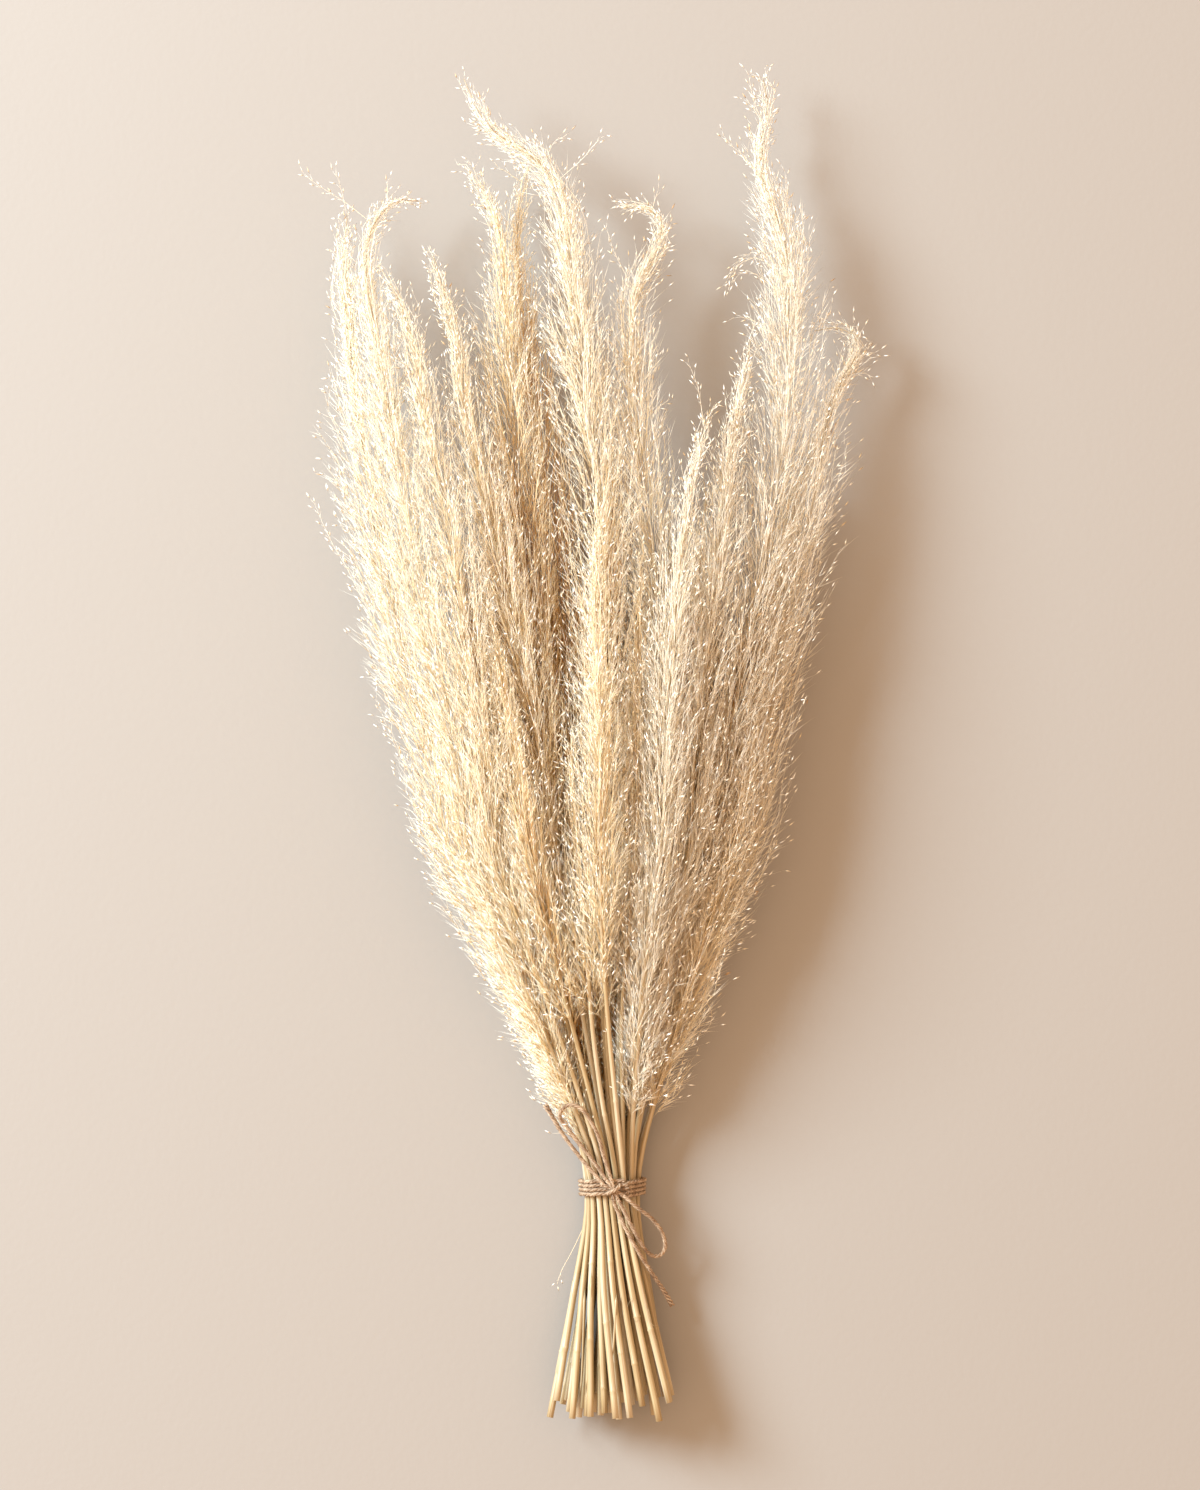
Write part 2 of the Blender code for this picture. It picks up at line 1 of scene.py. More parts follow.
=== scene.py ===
"""A bundle of dried bent grass tied with jute twine, with its finish, lights and camera.

The culms are laid out by the same sections and rows as the CAD nodes that they replace. A stalk, a branch
and a spikelet are each modelled straight, and their copies are then bent along the culm that they belong to.
"""
import math
import random

import bmesh
import bpy
import numpy as np
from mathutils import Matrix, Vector


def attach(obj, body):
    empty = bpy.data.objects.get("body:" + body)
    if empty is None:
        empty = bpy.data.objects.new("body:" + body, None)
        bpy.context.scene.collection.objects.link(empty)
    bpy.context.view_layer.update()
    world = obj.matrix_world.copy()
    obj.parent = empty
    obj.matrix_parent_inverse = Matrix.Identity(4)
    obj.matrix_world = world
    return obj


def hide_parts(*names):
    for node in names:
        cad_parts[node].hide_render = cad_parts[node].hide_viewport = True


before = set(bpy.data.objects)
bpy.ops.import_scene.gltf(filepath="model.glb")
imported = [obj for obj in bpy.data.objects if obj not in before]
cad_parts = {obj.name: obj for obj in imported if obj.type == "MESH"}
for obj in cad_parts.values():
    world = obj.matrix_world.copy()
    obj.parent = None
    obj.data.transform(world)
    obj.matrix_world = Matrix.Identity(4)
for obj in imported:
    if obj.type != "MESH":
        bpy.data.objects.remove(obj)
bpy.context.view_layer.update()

# The bundle's layout, as the CAD nodes have it: its origin is the tie, and the shift brings it to the frame.
# A section has its place along, its middle across, half width, middle height, half thickness and twist.
# A leading head has its height in the bundle, from -1 to 1, its route to the shoulder, and its crook.
ORIGIN_SHIFT = Vector((0.0123, -0.2476, 0.0))
CULM_GAP = 0.0003
SEED = 11
SECTIONS = (
    (-0.130, 0.0030, 0.0360, 0.0190, 0.0150, -26.0),
    (-0.060, 0.0010, 0.0220, 0.0145, 0.0110, -15.0),
    (0.000, 0.0000, 0.0137, 0.0121, 0.0078, 0.0),
    (0.050, -0.0020, 0.0250, 0.0170, 0.0120, 18.0),
    (0.110, -0.0050, 0.0460, 0.0250, 0.0180, 25.0),
    (0.200, -0.0070, 0.0740, 0.0315, 0.0240, 29.0),
    (0.330, -0.0120, 0.1080, 0.0325, 0.0270, 31.0),
    (0.450, -0.0110, 0.1310, 0.0285, 0.0240, 32.0),
    (0.560, -0.0050, 0.1440, 0.0220, 0.0160, 33.0),
    (0.640, -0.0050, 0.1500, 0.0190, 0.0100, 33.0),
)
TIE_ROWS = (5, 8, 9, 8, 7, 5)
STATIONS = (-0.130, -0.060, -0.015, 0.015, 0.050, 0.095, 0.140, 0.190, 0.240,
            0.290, 0.340, 0.390, 0.440, 0.490, 0.540, 0.590, 0.640)
BUTT_RANGE = (-0.129, -0.114)
INNER_TIPS = (0.240, 0.430)

# The rounds that push the culms clear of each other, and the pulls that keep their lines smooth and in place
SETTLE_ROUNDS = 700
SETTLE_PULLED = 0.75
SETTLE_PUSH = 0.45
SETTLE_SMOOTH = 0.12
SETTLE_PULL = 0.01
SETTLE_LEAST = 0.00001
FLOOR_SHARE = 0.58

# The room that a stem and a head take up, and the routes and crooks of the leading heads
STEM_SIZES = ((-0.130, 0.00195), (-0.060, 0.0018), (0.0, 0.00155), (0.050, 0.0015), (0.095, 0.0008))
HEAD_SIZES = ((0.030, 0.0020), (0.050, 0.0028), (0.110, 0.0047), (0.160, 0.0064), (0.220, 0.0078),
              (0.330, 0.0096), (0.640, 0.0100))
HEAD_TAPER = 0.110
LEAD_BLEND = 0.120
SHORTEST_SPAN = 0.008
SHOULDER_ROOM = 0.0055
TIP_ROOM = 0.0020
CROOK_DROP = 0.006
LEADING_HEADS = (
    (0.10, ((-0.095, 0.230), (-0.113, 0.290), (-0.126, 0.350), (-0.138, 0.410), (-0.147, 0.470)),
     ((-0.149, 0.496), (-0.151, 0.520), (-0.149, 0.541))),
    (0.45, ((-0.080, 0.240), (-0.099, 0.310), (-0.112, 0.380), (-0.124, 0.440), (-0.133, 0.488)),
     ((-0.136, 0.512), (-0.134, 0.530), (-0.127, 0.544), (-0.118, 0.550), (-0.107, 0.549))),
    (0.80, ((-0.062, 0.240), (-0.078, 0.320), (-0.092, 0.390), (-0.103, 0.440)),
     ((-0.109, 0.468), (-0.116, 0.492), (-0.127, 0.512))),
    (0.60, ((-0.042, 0.240), (-0.058, 0.320), (-0.073, 0.390), (-0.086, 0.450)),
     ((-0.089, 0.472), (-0.094, 0.492), (-0.101, 0.517))),
    (0.20, ((-0.030, 0.240), (-0.043, 0.330), (-0.051, 0.400), (-0.057, 0.470), (-0.060, 0.515)),
     ((-0.064, 0.538), (-0.071, 0.554), (-0.080, 0.568))),
    (-0.10, ((-0.022, 0.260), (-0.036, 0.360), (-0.046, 0.430), (-0.054, 0.500)),
     ((-0.056, 0.525), (-0.054, 0.548), (-0.050, 0.569))),
    (0.95, ((0.004, 0.240), (-0.001, 0.320), (-0.007, 0.400), (-0.016, 0.470), (-0.026, 0.530)),
     ((-0.030, 0.552), (-0.040, 0.570), (-0.058, 0.581), (-0.072, 0.594), (-0.083, 0.617))),
    (0.60, ((0.028, 0.240), (0.024, 0.320), (0.017, 0.390), (0.010, 0.450), (0.010, 0.488)),
     ((0.016, 0.508), (0.025, 0.522), (0.028, 0.534), (0.021, 0.545), (0.006, 0.546))),
    (0.70, ((0.046, 0.250), (0.056, 0.330), (0.065, 0.400)),
     ((0.069, 0.425), (0.074, 0.448), (0.078, 0.473))),
    (0.95, ((0.026, 0.250), (0.034, 0.330), (0.042, 0.383)),
     ((0.047, 0.406), (0.054, 0.432))),
    (0.30, ((0.064, 0.250), (0.081, 0.330), (0.094, 0.400), (0.099, 0.460), (0.097, 0.515)),
     ((0.092, 0.540), (0.084, 0.562), (0.082, 0.580), (0.087, 0.598), (0.084, 0.618))),
    (0.00, ((0.082, 0.250), (0.098, 0.330), (0.112, 0.390), (0.122, 0.430)),
     ((0.131, 0.452), (0.139, 0.466), (0.138, 0.475), (0.129, 0.480), (0.115, 0.478))),
    (0.95, ((-0.010, 0.130), (-0.017, 0.190), (-0.022, 0.254)), ()),
    (0.95, ((-0.004, 0.230), (-0.007, 0.300), (-0.008, 0.367)), ()),
    (0.95, ((0.010, 0.200), (0.014, 0.290), (0.018, 0.352)), ()),
)

# The twine's routes, as the CAD nodes have them
TWINE_RADIUS = 0.0011
TWINE_GAP = 0.0003
WRAP_PITCH = 0.00235
WRAP_TURNS = 4
WRAP_TILT = 0.0011
WRAP_STEPS = 20
WRAP_START = math.radians(84)
ROUTE_PARTS = 12
KNOT_MIDDLE = Vector((0.0014, -0.0002, 0.0279))
KNOT_OVERRUN = 0.0009
KNOT_BAND = ((-0.0026, -0.0026, 0.0260), (-0.0010, -0.0016, 0.0288), (0.0016, -0.0002, 0.0302),
             (0.0038, 0.0014, 0.0292), (0.0050, 0.0026, 0.0268))
CORD_ROUTES = {
    "twine_loop_upper": (
        (0.0000, 0.0048, 0.0282), (-0.0022, 0.0115, 0.0284), (-0.0045, 0.0190, 0.0290),
        (-0.0078, 0.0308, 0.0310), (-0.0120, 0.0390, 0.0325), (-0.0155, 0.0440, 0.0336),
        (-0.0203, 0.0472, 0.0334), (-0.0252, 0.0468, 0.0322), (-0.0285, 0.0430, 0.0304),
        (-0.0283, 0.0388, 0.0290), (-0.0250, 0.0345, 0.0280), (-0.0165, 0.0238, 0.0270),
        (-0.0085, 0.0134, 0.0274), (-0.0030, 0.0054, 0.0282)),
    "twine_tail_upper": (
        (-0.0046, 0.0026, 0.0280), (-0.0092, 0.0080, 0.0270), (-0.0180, 0.0182, 0.0256),
        (-0.0256, 0.0282, 0.0254), (-0.0314, 0.0375, 0.0260), (-0.0370, 0.0472, 0.0270)),
    "twine_loop_lower": (
        (0.0064, -0.0032, 0.0284), (0.0105, -0.0068, 0.0282), (0.0160, -0.0115, 0.0264),
        (0.0222, -0.0165, 0.0236), (0.0278, -0.0240, 0.0210), (0.0298, -0.0315, 0.0194),
        (0.0282, -0.0366, 0.0192), (0.0240, -0.0380, 0.0200), (0.0202, -0.0358, 0.0218),
        (0.0162, -0.0300, 0.0248), (0.0107, -0.0196, 0.0276), (0.0062, -0.0106, 0.0282),
        (0.0036, -0.0055, 0.0284)),
    "twine_tail_lower": (
        (0.0008, -0.0056, 0.0280), (0.0032, -0.0120, 0.0270), (0.0070, -0.0204, 0.0268),
        (0.0116, -0.0290, 0.0270), (0.0164, -0.0375, 0.0248), (0.0222, -0.0470, 0.0202),
        (0.0284, -0.0567, 0.0160), (0.0340, -0.0664, 0.0128)),
}

# The twine's build: three plies laid round each other, with loose fibres
PLIES = 3
PLY_RADIUS = 0.00058
PLY_OFFSET = 0.00056
PLY_LAY = 0.0085
PLY_STEP = 0.0007
FIBRE_SPACING = 0.00030
FIBRE_LENGTH = (0.0014, 0.0035)
FIBRE_RADIUS = 0.00006
FIBRE_PAST = 0.001
FIBRE_LIFT = (0.1, 0.44)
FIBRE_ROOT = 0.85
FIBRE_CURL = 1.5
FIBRE_SWING = (-0.8, 0.8)
FEWEST_STEPS = 6
WELD = 0.00001

# The plies of a tail come apart: by how much, from where on, and over how much of its length
TAIL_SPREAD = 0.9
SPREAD_FROM = 0.7
SPREAD_OVER = 0.3

# The slots of a culm's materials, and the stalk: its build, its radii along the bundle, its joints and sheath
STALK_SLOT, BRANCH_SLOT, SPIKELET_SLOT = range(3)
STALK_SIDES = 10
STALK_RING = 0.012
STALK_RADIUS = 0.0018
STALK_SIZES = ((-0.130, 0.00195), (-0.060, 0.0018), (0.0, 0.00155), (0.080, 0.0013), (0.160, 0.0010),
               (0.220, 0.0005), (0.350, 0.0003), (0.640, 0.0002))
STALK_WALL = 0.0006
STALK_PIT = 0.0016
JOINT_HALF = 0.0008
JOINT_GROWTH = 1.13
LOWER_JOINT = (0.012, 0.060)
SECOND_JOINT_SHARE = 0.5
JOINT_SPACING = (0.035, 0.060)
UPPER_JOINT = (0.150, 0.200)
SHEATH_SHARE = 0.4
SHEATH_START = (0.010, 0.030)
SHEATH_LENGTH = (0.020, 0.050)
SHEATH_GROWTH = 1.10
SHEATH_EDGE = 0.0003

# A head's branches: how many, how thick and how long, and how each climbs, leans out and waves
BRANCHES_PER_METRE = 1020
BRANCH_RADIUS = 0.00015
BRANCH_LEVELS = 4
BRANCH_LENGTH = (0.045, 0.100)
BRANCH_TIP_LENGTH = 0.012
BRANCH_FOOT_LENGTH = 0.020
TIP_LENGTH_SHARE = 0.65
FOOT_LENGTH_SHARE = 0.9
FOOT_VARIETY = (0.8, 1.4)
GOLDEN_ANGLE = math.radians(137.5)
ROOT_VARIETY = 0.4
LEAN_RANGE = (0.01, 1.0)
LEAN_POWER = 0.6
FOOT_SPREAD = 0.12
SPREAD_POWER = 1.7
SWAY = (-0.5, 0.5)
UNRULY_SHARE = 0.25
UNRULY_WAVE = 0.0026
CALM_WAVE = 0.0011
WAVE_GROWTH = 2.5
OUTWARD_NOISE = 0.0006
HAIR_VARIETY = (0.75, 1.2)
HAIR_FOOT = 1.2
HAIR_TAPER = 0.6
HAIR_TURNS = (0.0, 2.0)
ALONG_BRANCH = (0.0, 0.6)

# How full and how flat the heads are, and how much slimmer and sparser in their last stretch
LEADING_FLUFF = (1.9, 1.9, 1.8, 1.7, 1.9, 1.9, 2.0, 1.8, 1.4, 1.3, 2.1, 1.8, 1.9, 1.5, 0.8)
INNER_FLUFF = 1.3
LOW_FLUFF = 2.1
LEAST_FLUFF = 0.005
FLUFF_FLATNESS = 0.60
SLIM_TIP = 0.090
SLIM_SHARE = 0.34
SPARSE_TIP = 0.140
SPARSE_SHARE = 0.08

# The twigs on each branch: how many, how thick and how long, and how each leaves the branch
TWIGS_PER_BRANCH = 10
TWIG_RADIUS = 0.00016
TWIG_LENGTH = (0.007, 0.023)
TWIG_FOOT_LENGTH = 1.15
TWIG_SHORTENING = 0.45
TWIG_LONGEST = 0.5
TWIG_SHARES = (0.12, 1.0)
TWIG_ANGLE = (math.radians(4), math.radians(38))
TWIG_TIP_ANGLE = 1.7
TWIG_OUTWARD = 0.9
TWIG_NOISE = 0.6
TWIG_VARIETY = (0.8, 1.2)
ALONG_TWIG = (0.4, 1.0)

# The spikelets, on a share of the twigs
SPIKELET_SHARE = 0.26
SPIKELET_LENGTH = 0.0043
SPIKELET_RADIUS = 0.00041
SPIKELET_SUNK = 0.0004
SPIKELET_NOISE = 0.26
SPIKELET_VARIETY = (0.75, 1.15)
SPIKELET_LEVELS = (0.0, 0.42, 1.0)
ALONG_SPIKELET = (1.0, 1.0)

# What the hairs keep clear of the floor, and the step between the points of a culm's line
FLOOR_CLEAR = 0.0006
LINE_STEP = 0.004

# When a direction counts as along an axis, and a vertex as at an end of a model of length one
MOSTLY = 0.9
END_REACH = 0.01

# How far above the tie a head begins: on top in the middle, at the left and at the right
TOP_ROWS_FROM = 0.1
TOP_COLUMNS = (-0.30, 0.60)
HEAD_FROM_TOP = 0.092
HEAD_FROM_LEFT = 0.010
HEAD_FROM_RIGHT = 0.032
HEAD_FROM_VARIETY = 0.035

# How pale a head is: painted light makes it paler in the leading heads, at the right, outside and where it is
# exposed, painted shade makes it darker deep inside, and it is also paler further up
EXPOSED_DEPTH = 0.036
LEADING_PAINTED_LIGHT = 0.35
INNER_PAINTED_SHADE = 0.07
PAINTED_LIGHT_OUTER = 0.25
PAINTED_LIGHT_EXPOSED = 0.80
PAINTED_SHADE_DEEP = -0.26
PAINTED_LIGHT_RIGHT = 1.9
PAINTED_LIGHT_FROM = 0.06
GOLDEN_LOW = 0.85
GOLDEN_FROM = 0.1

# Stray sprigs and hairs: how far each rises on its way, the share of it that is bare, and its route across
# and along the bundle from the tie
SPRIG_LEVELS = 8
SPRIG_STEP = 0.002
SPRIG_RADIUS = 0.00015
SPRIG_SPACING = 0.0036
SPRIG_STALK = (0.002, 0.005)
SPRIG_SIDE = (0.25, 0.5)
SPRIG_LIFT = 0.2
# A sprig's base level in the heads' painted light and shade
SPRIG_LIGHT_AND_SHADE = 0.1
ALONG_SPRIG = (0.3, 1.0)
ALONG_SPRIG_STALK = (0.8, 1.0)
STRAY_SPRIGS = (
    (0.000, 0.30, ((-0.118, 0.278), (-0.136, 0.324), (-0.146, 0.344), (-0.156, 0.361), (-0.166, 0.384))),
    (0.000, 0.30, ((-0.122, 0.306), (-0.129, 0.338), (-0.141, 0.358))),
    (0.000, 0.30, ((-0.086, 0.178), (-0.101, 0.208), (-0.113, 0.233), (-0.123, 0.253), (-0.131, 0.275))),
    (0.002, 0.30, ((-0.148, 0.467), (-0.156, 0.494), (-0.153, 0.514), (-0.151, 0.540))),
    (0.004, 0.30, ((-0.134, 0.536), (-0.148, 0.548), (-0.164, 0.558), (-0.171, 0.564))),
    (0.004, 0.30, ((-0.144, 0.546), (-0.151, 0.558), (-0.154, 0.566))),
    (0.003, 0.30, ((-0.129, 0.536), (-0.125, 0.548), (-0.124, 0.560))),
    (0.003, 0.30, ((-0.093, 0.467), (-0.098, 0.494), (-0.101, 0.518))),
    (0.002, 0.30, ((-0.087, 0.456), (-0.092, 0.483), (-0.094, 0.511))),
    (0.002, 0.30, ((-0.083, 0.450), (-0.087, 0.478), (-0.089, 0.496))),
    (0.001, 0.30, ((-0.079, 0.439), (-0.083, 0.467), (-0.084, 0.483))),
    (0.004, 0.30, ((-0.059, 0.511), (-0.063, 0.533), (-0.071, 0.554), (-0.081, 0.566))),
    (0.003, 0.30, ((-0.058, 0.516), (-0.056, 0.548), (-0.051, 0.566))),
    (0.000, 0.30, ((-0.050, 0.562), (-0.059, 0.568), (-0.064, 0.571))),
    (0.004, 0.30, ((-0.036, 0.569), (-0.032, 0.581), (-0.024, 0.585))),
    (0.005, 0.30, ((-0.022, 0.564), (-0.016, 0.572), (-0.011, 0.578), (-0.005, 0.584))),
    (0.000, 1.00, ((-0.031, 0.569), (-0.021, 0.553), (-0.014, 0.536), (-0.012, 0.517), (-0.014, 0.494),
                   (-0.016, 0.475))),
    (0.002, 0.30, ((0.006, 0.500), (0.002, 0.519), (-0.003, 0.534))),
    (0.003, 0.30, ((0.020, 0.543), (0.024, 0.550), (0.026, 0.556))),
    (0.002, 0.30, ((0.009, 0.494), (0.017, 0.510), (0.025, 0.517), (0.032, 0.524))),
    (0.002, 0.30, ((0.016, 0.516), (0.025, 0.530), (0.030, 0.534))),
    (0.001, 0.30, ((0.052, 0.422), (0.048, 0.441), (0.046, 0.448), (0.042, 0.458))),
    (0.001, 0.30, ((0.020, 0.425), (0.026, 0.434), (0.033, 0.439))),
    (0.002, 0.30, ((0.085, 0.589), (0.079, 0.606), (0.076, 0.621))),
    (0.003, 0.30, ((0.087, 0.592), (0.084, 0.606), (0.083, 0.618))),
    (0.001, 0.30, ((0.088, 0.592), (0.089, 0.603), (0.091, 0.614))),
    (0.000, 0.30, ((0.083, 0.592), (0.078, 0.603), (0.073, 0.607))),
    (0.003, 0.30, ((0.083, 0.558), (0.074, 0.574), (0.067, 0.580), (0.061, 0.587))),
    (0.000, 0.30, ((0.098, 0.533), (0.098, 0.550), (0.096, 0.567))),
    (0.006, 0.30, ((0.091, 0.500), (0.085, 0.516), (0.076, 0.517), (0.067, 0.510), (0.062, 0.500))),
    (0.003, 0.30, ((0.089, 0.494), (0.081, 0.508), (0.073, 0.510), (0.067, 0.504), (0.064, 0.499))),
    (0.002, 0.30, ((0.092, 0.503), (0.088, 0.519), (0.079, 0.521), (0.070, 0.516), (0.065, 0.507))),
    (0.004, 0.30, ((0.088, 0.469), (0.081, 0.481), (0.074, 0.484), (0.067, 0.484))),
    (0.002, 0.30, ((0.120, 0.473), (0.118, 0.482), (0.122, 0.489))),
    (0.000, 0.30, ((0.133, 0.453), (0.140, 0.464), (0.148, 0.466))),
    (0.000, 0.30, ((0.132, 0.443), (0.139, 0.454), (0.146, 0.451))),
    (0.000, 0.95, ((0.042, 0.104), (0.052, 0.104), (0.056, 0.097), (0.054, 0.089), (0.049, 0.086))),
    (0.000, 0.80, ((-0.017, -0.018), (-0.022, -0.036), (-0.028, -0.047), (-0.031, -0.056))),
)
# Curled hairs and dry leaf blades that lie on the stems below the tie: the radius, how far each rises on its
# way and its route
ON_STEMS_REACH = 0.003
ON_STEMS_LIFT = 0.0024
ON_STEMS = (
    (0.0002, 0.002, ((0.012, -0.059), (0.008, -0.067), (0.010, -0.073), (0.015, -0.072), (0.017, -0.068))),
    (0.0002, 0.002, ((0.018, -0.064), (0.021, -0.068), (0.021, -0.073), (0.024, -0.076), (0.027, -0.074))),
    (0.0011, 0.006, ((-0.0150, -0.056), (-0.0158, -0.078), (-0.0165, -0.098), (-0.0174, -0.116))),
    (0.0010, 0.006, ((-0.0112, -0.046), (-0.0122, -0.070), (-0.0131, -0.092), (-0.0142, -0.114))),
    (0.0010, 0.003, ((0.0026, -0.058), (0.0020, -0.070), (0.0012, -0.082), (0.0004, -0.093))),
)

# The patterns, in waves a metre. The stalk's streaks are 0.4 mm wide and 45 mm long, the jute's fibres 0.6 mm
# and the board's tooth 4 mm, all coarser than real ones so that they show. The stalk's patches are 8 mm wide
# and 110 mm long, and the jute's are 4 mm. Each stalk's pattern is shifted by its own turn times the shift.
STREAK_SHIFT = (7.3, 11.7, 0.0)
STREAK_SCALE = (2600.0, 22.0, 2600.0)
STALK_PATCH_SCALE = (120.0, 9.0, 120.0)
JUTE_FIBRE_SCALE = 1800.0
JUTE_PATCH_SCALE = 260.0
BOARD_TOOTH_SCALE = 260.0

# How much a branch's colour depends on chance, on how near its tip is, and on its place as painted light
# and shade; and how much a spikelet's painted shade depends on its place, with what it has everywhere
BRANCH_CHANCE = 0.16
BRANCH_BLEACHED = 0.30
BRANCH_LIGHT_AND_SHADE = 0.50
SPIKELET_PAINTED_SHADE = (1.1, 0.2)

# The photograph's frame: its field in metres, at which level, and how far above it the camera is
FIELD_WIDTH = 0.6667
FIELD_LEVEL = 0.030
FIELD_CENTRE = (0.0058, -0.0004)
CAMERA_DISTANCE = 2.4
SENSOR_WIDTH = 36.0

# The light: one key from the upper left, cool against the warm room
KEY_SPOT = (-2.90, 1.40, 1.75)
KEY_POWER = 405.0
KEY_SIZE = 1.50
KEY_COLOUR = "#DBF0FF"
ROOM_COLOUR = "#FFD7B3"
ROOM_STRENGTH = 1.38
FLOOR_SIZE = 6.0


def section_at(along):
    """The bundle's section at any distance along it, by smooth steps between the named sections."""
    table = np.array(SECTIONS)
    knots = table[:, 0]
    slopes = np.gradient(table[:, 1:], knots, axis=0)
    low = int(np.clip(np.searchsorted(knots, along) - 1, 0, len(knots) - 2))
    span = knots[low + 1] - knots[low]
    t = (along - knots[low]) / span
    start = table[low, 1:]
    end = table[low + 1, 1:]
    rise = end - start
    bend_in = slopes[low] * span
    bend_out = slopes[low + 1] * span
    second = 3 * rise - 2 * bend_in - bend_out
    third = bend_in + bend_out - 2 * rise
    return start + t * (bend_in + t * (second + t * third))


def size_at(sizes, along):
    """A radius at any distance along the bundle, from a short list of places and sizes."""
    places, radii = zip(*sizes)
    return np.interp(along, places, radii)


def tie_places():
    """Each culm's place in the tied section, as shares of its half width and half thickness."""
    places = []
    widest = max(TIE_ROWS)
    for row, count in enumerate(TIE_ROWS):
        height = 2 * row / (len(TIE_ROWS) - 1) - 1
        for column in range(count):
            places.append(((2 * column - count + 1) / (widest - 1), height))
    return np.array(places)


def fanned(share, along):
    """Where a place in the tied section has moved to, further along the fanned and twisted bundle."""
    middle_x, half_width, middle_z, half_thick, twist = section_at(along)
    turn = math.radians(twist)
    across = share[0] * math.cos(turn) - share[1] * math.sin(turn)
    up = share[0] * math.sin(turn) + share[1] * math.cos(turn)
    return middle_x + half_width * across, middle_z + half_thick * up


class Culm:
    """One grass stalk: its place in the tie, its ends, and its leading route if it has one."""

    def __init__(self, number, share, draw):
        self.number = number
        self.name = "culm_%02d" % number
        self.share = share
        self.butt = draw.uniform(*BUTT_RANGE)
        self.tip = draw.uniform(*INNER_TIPS)
        self.turn = draw.uniform(0, 2 * math.pi)
        self.route = None
        self.crook = ()
        self.fluff = INNER_FLUFF if share[1] > 0 else LOW_FLUFF

    def lead(self, route, crook, fluff):
        """Take one of the leading routes, up to its shoulder, the crook after it and how full the head is."""
        self.fluff = fluff
        self.route = [Vector(point) for point in route]
        self.crook = [Vector(point) for point in crook]
        self.tip = self.route[-1].y

    def wanted(self, along):
        """Where the culm would run across and above, at one distance along the bundle."""
        x, z = fanned(self.share, along)
        if self.route is None:
            return x, z
        places = [point.y for point in self.route]
        sides = [point.x for point in self.route]
        x_route = np.interp(along, places, sides)
        blend = min(1.0, max(0.0, 1 - (places[0] - along) / LEAD_BLEND))
        blend = blend * blend * (3 - 2 * blend)
        return x + blend * (x_route - x), z

    def reach(self, along):
        """The room that the culm takes round its middle line, head included."""
        if along < self.butt or along > self.tip:
            return 0.0
        stem = float(size_at(STEM_SIZES, along))
        if along < HEAD_SIZES[0][0]:
            return stem
        left = self.tip - along
        shoulder = SHOULDER_ROOM if self.crook else TIP_ROOM
        fade = math.sqrt(min(1.0, left / HEAD_TAPER))
        head = float(size_at(HEAD_SIZES, along))
        return max(stem * fade, shoulder + (head - shoulder) * fade)


def make_culms():
    """All culms, with the leading routes given to the free ones that lie nearest."""
    draw = random.Random(SEED)
    culms = [Culm(number + 1, share, draw) for number, share in enumerate(tie_places())]
    free = list(culms)
    for (height, route, crook), fluff in zip(LEADING_HEADS, LEADING_FLUFF):
        start = Vector(route[0])
        middle_x, half_width, _, _, twist = section_at(start.y)
        turn = math.radians(twist)
        across = (start.x - middle_x) / half_width
        p = across * math.cos(turn) + height * math.sin(turn)
        q = height * math.cos(turn) - across * math.sin(turn)
        chosen = min(free, key=lambda culm: (culm.share[0] - p) ** 2 + (culm.share[1] - q) ** 2)
        free.remove(chosen)
        chosen.lead(route, crook, fluff)
    return culms


def settle(culms):
    """Push the culms' middle lines apart until no two share room, and return their places at each station."""
    stations = np.array(STATIONS)
    wanted = np.array([[culm.wanted(y) for y in stations] for culm in culms])
    place = wanted.copy()
    shares = np.array((0.0, 1 / 3, 2 / 3))
    low = np.repeat(np.arange(len(stations) - 1), len(shares))
    t = np.tile(shares, len(stations) - 1)
    along = stations[low] * (1 - t) + stations[low + 1] * t
    room = np.array([[culm.reach(y) for y in along] for culm in culms])
    above = np.maximum(FLOOR_SHARE * room, np.minimum(room, STEM_SIZES[0][1]))
    present = room > 0
    both = present[:, None, :] & present[None, :, :]
    both &= ~np.eye(len(culms), dtype=bool)[:, :, None]
    needed = room[:, None, :] + room[None, :, :] + CULM_GAP
    weight = (1 - t) ** 2 + t ** 2
    for step in range(SETTLE_ROUNDS):
        here = place[:, low] * (1 - t)[None, :, None] + place[:, low + 1] * t[None, :, None]
        apart = here[:, None] - here[None, :]
        distance = np.maximum(np.linalg.norm(apart, axis=3), SETTLE_LEAST)
        short = np.where(both, np.maximum(needed - distance, 0.0), 0.0)
        push = (apart / distance[..., None] * (0.5 * short)[..., None]).sum(axis=1)
        below = np.maximum(above - here[..., 1], 0.0) * present
        push[..., 1] += below
        push *= (SETTLE_PUSH / weight)[None, :, None]
        move = np.zeros_like(place)
        np.add.at(move, (slice(None), low), push * (1 - t)[None, :, None])
        np.add.at(move, (slice(None), low + 1), push * t[None, :, None])
        place += move
        if step < SETTLE_ROUNDS * SETTLE_PULLED:
            offset = place - wanted
            place[:, 1:-1] += SETTLE_SMOOTH * ((offset[:, :-2] + offset[:, 2:]) / 2 - offset[:, 1:-1])
            place -= SETTLE_PULL * (place - wanted)
    return place


def middle_at(place, along):
    """A culm's middle at one distance along the bundle, from its places at the stations."""
    x, z = [float(np.interp(along, STATIONS, column)) for column in place.T]
    return Vector((x, along, z))


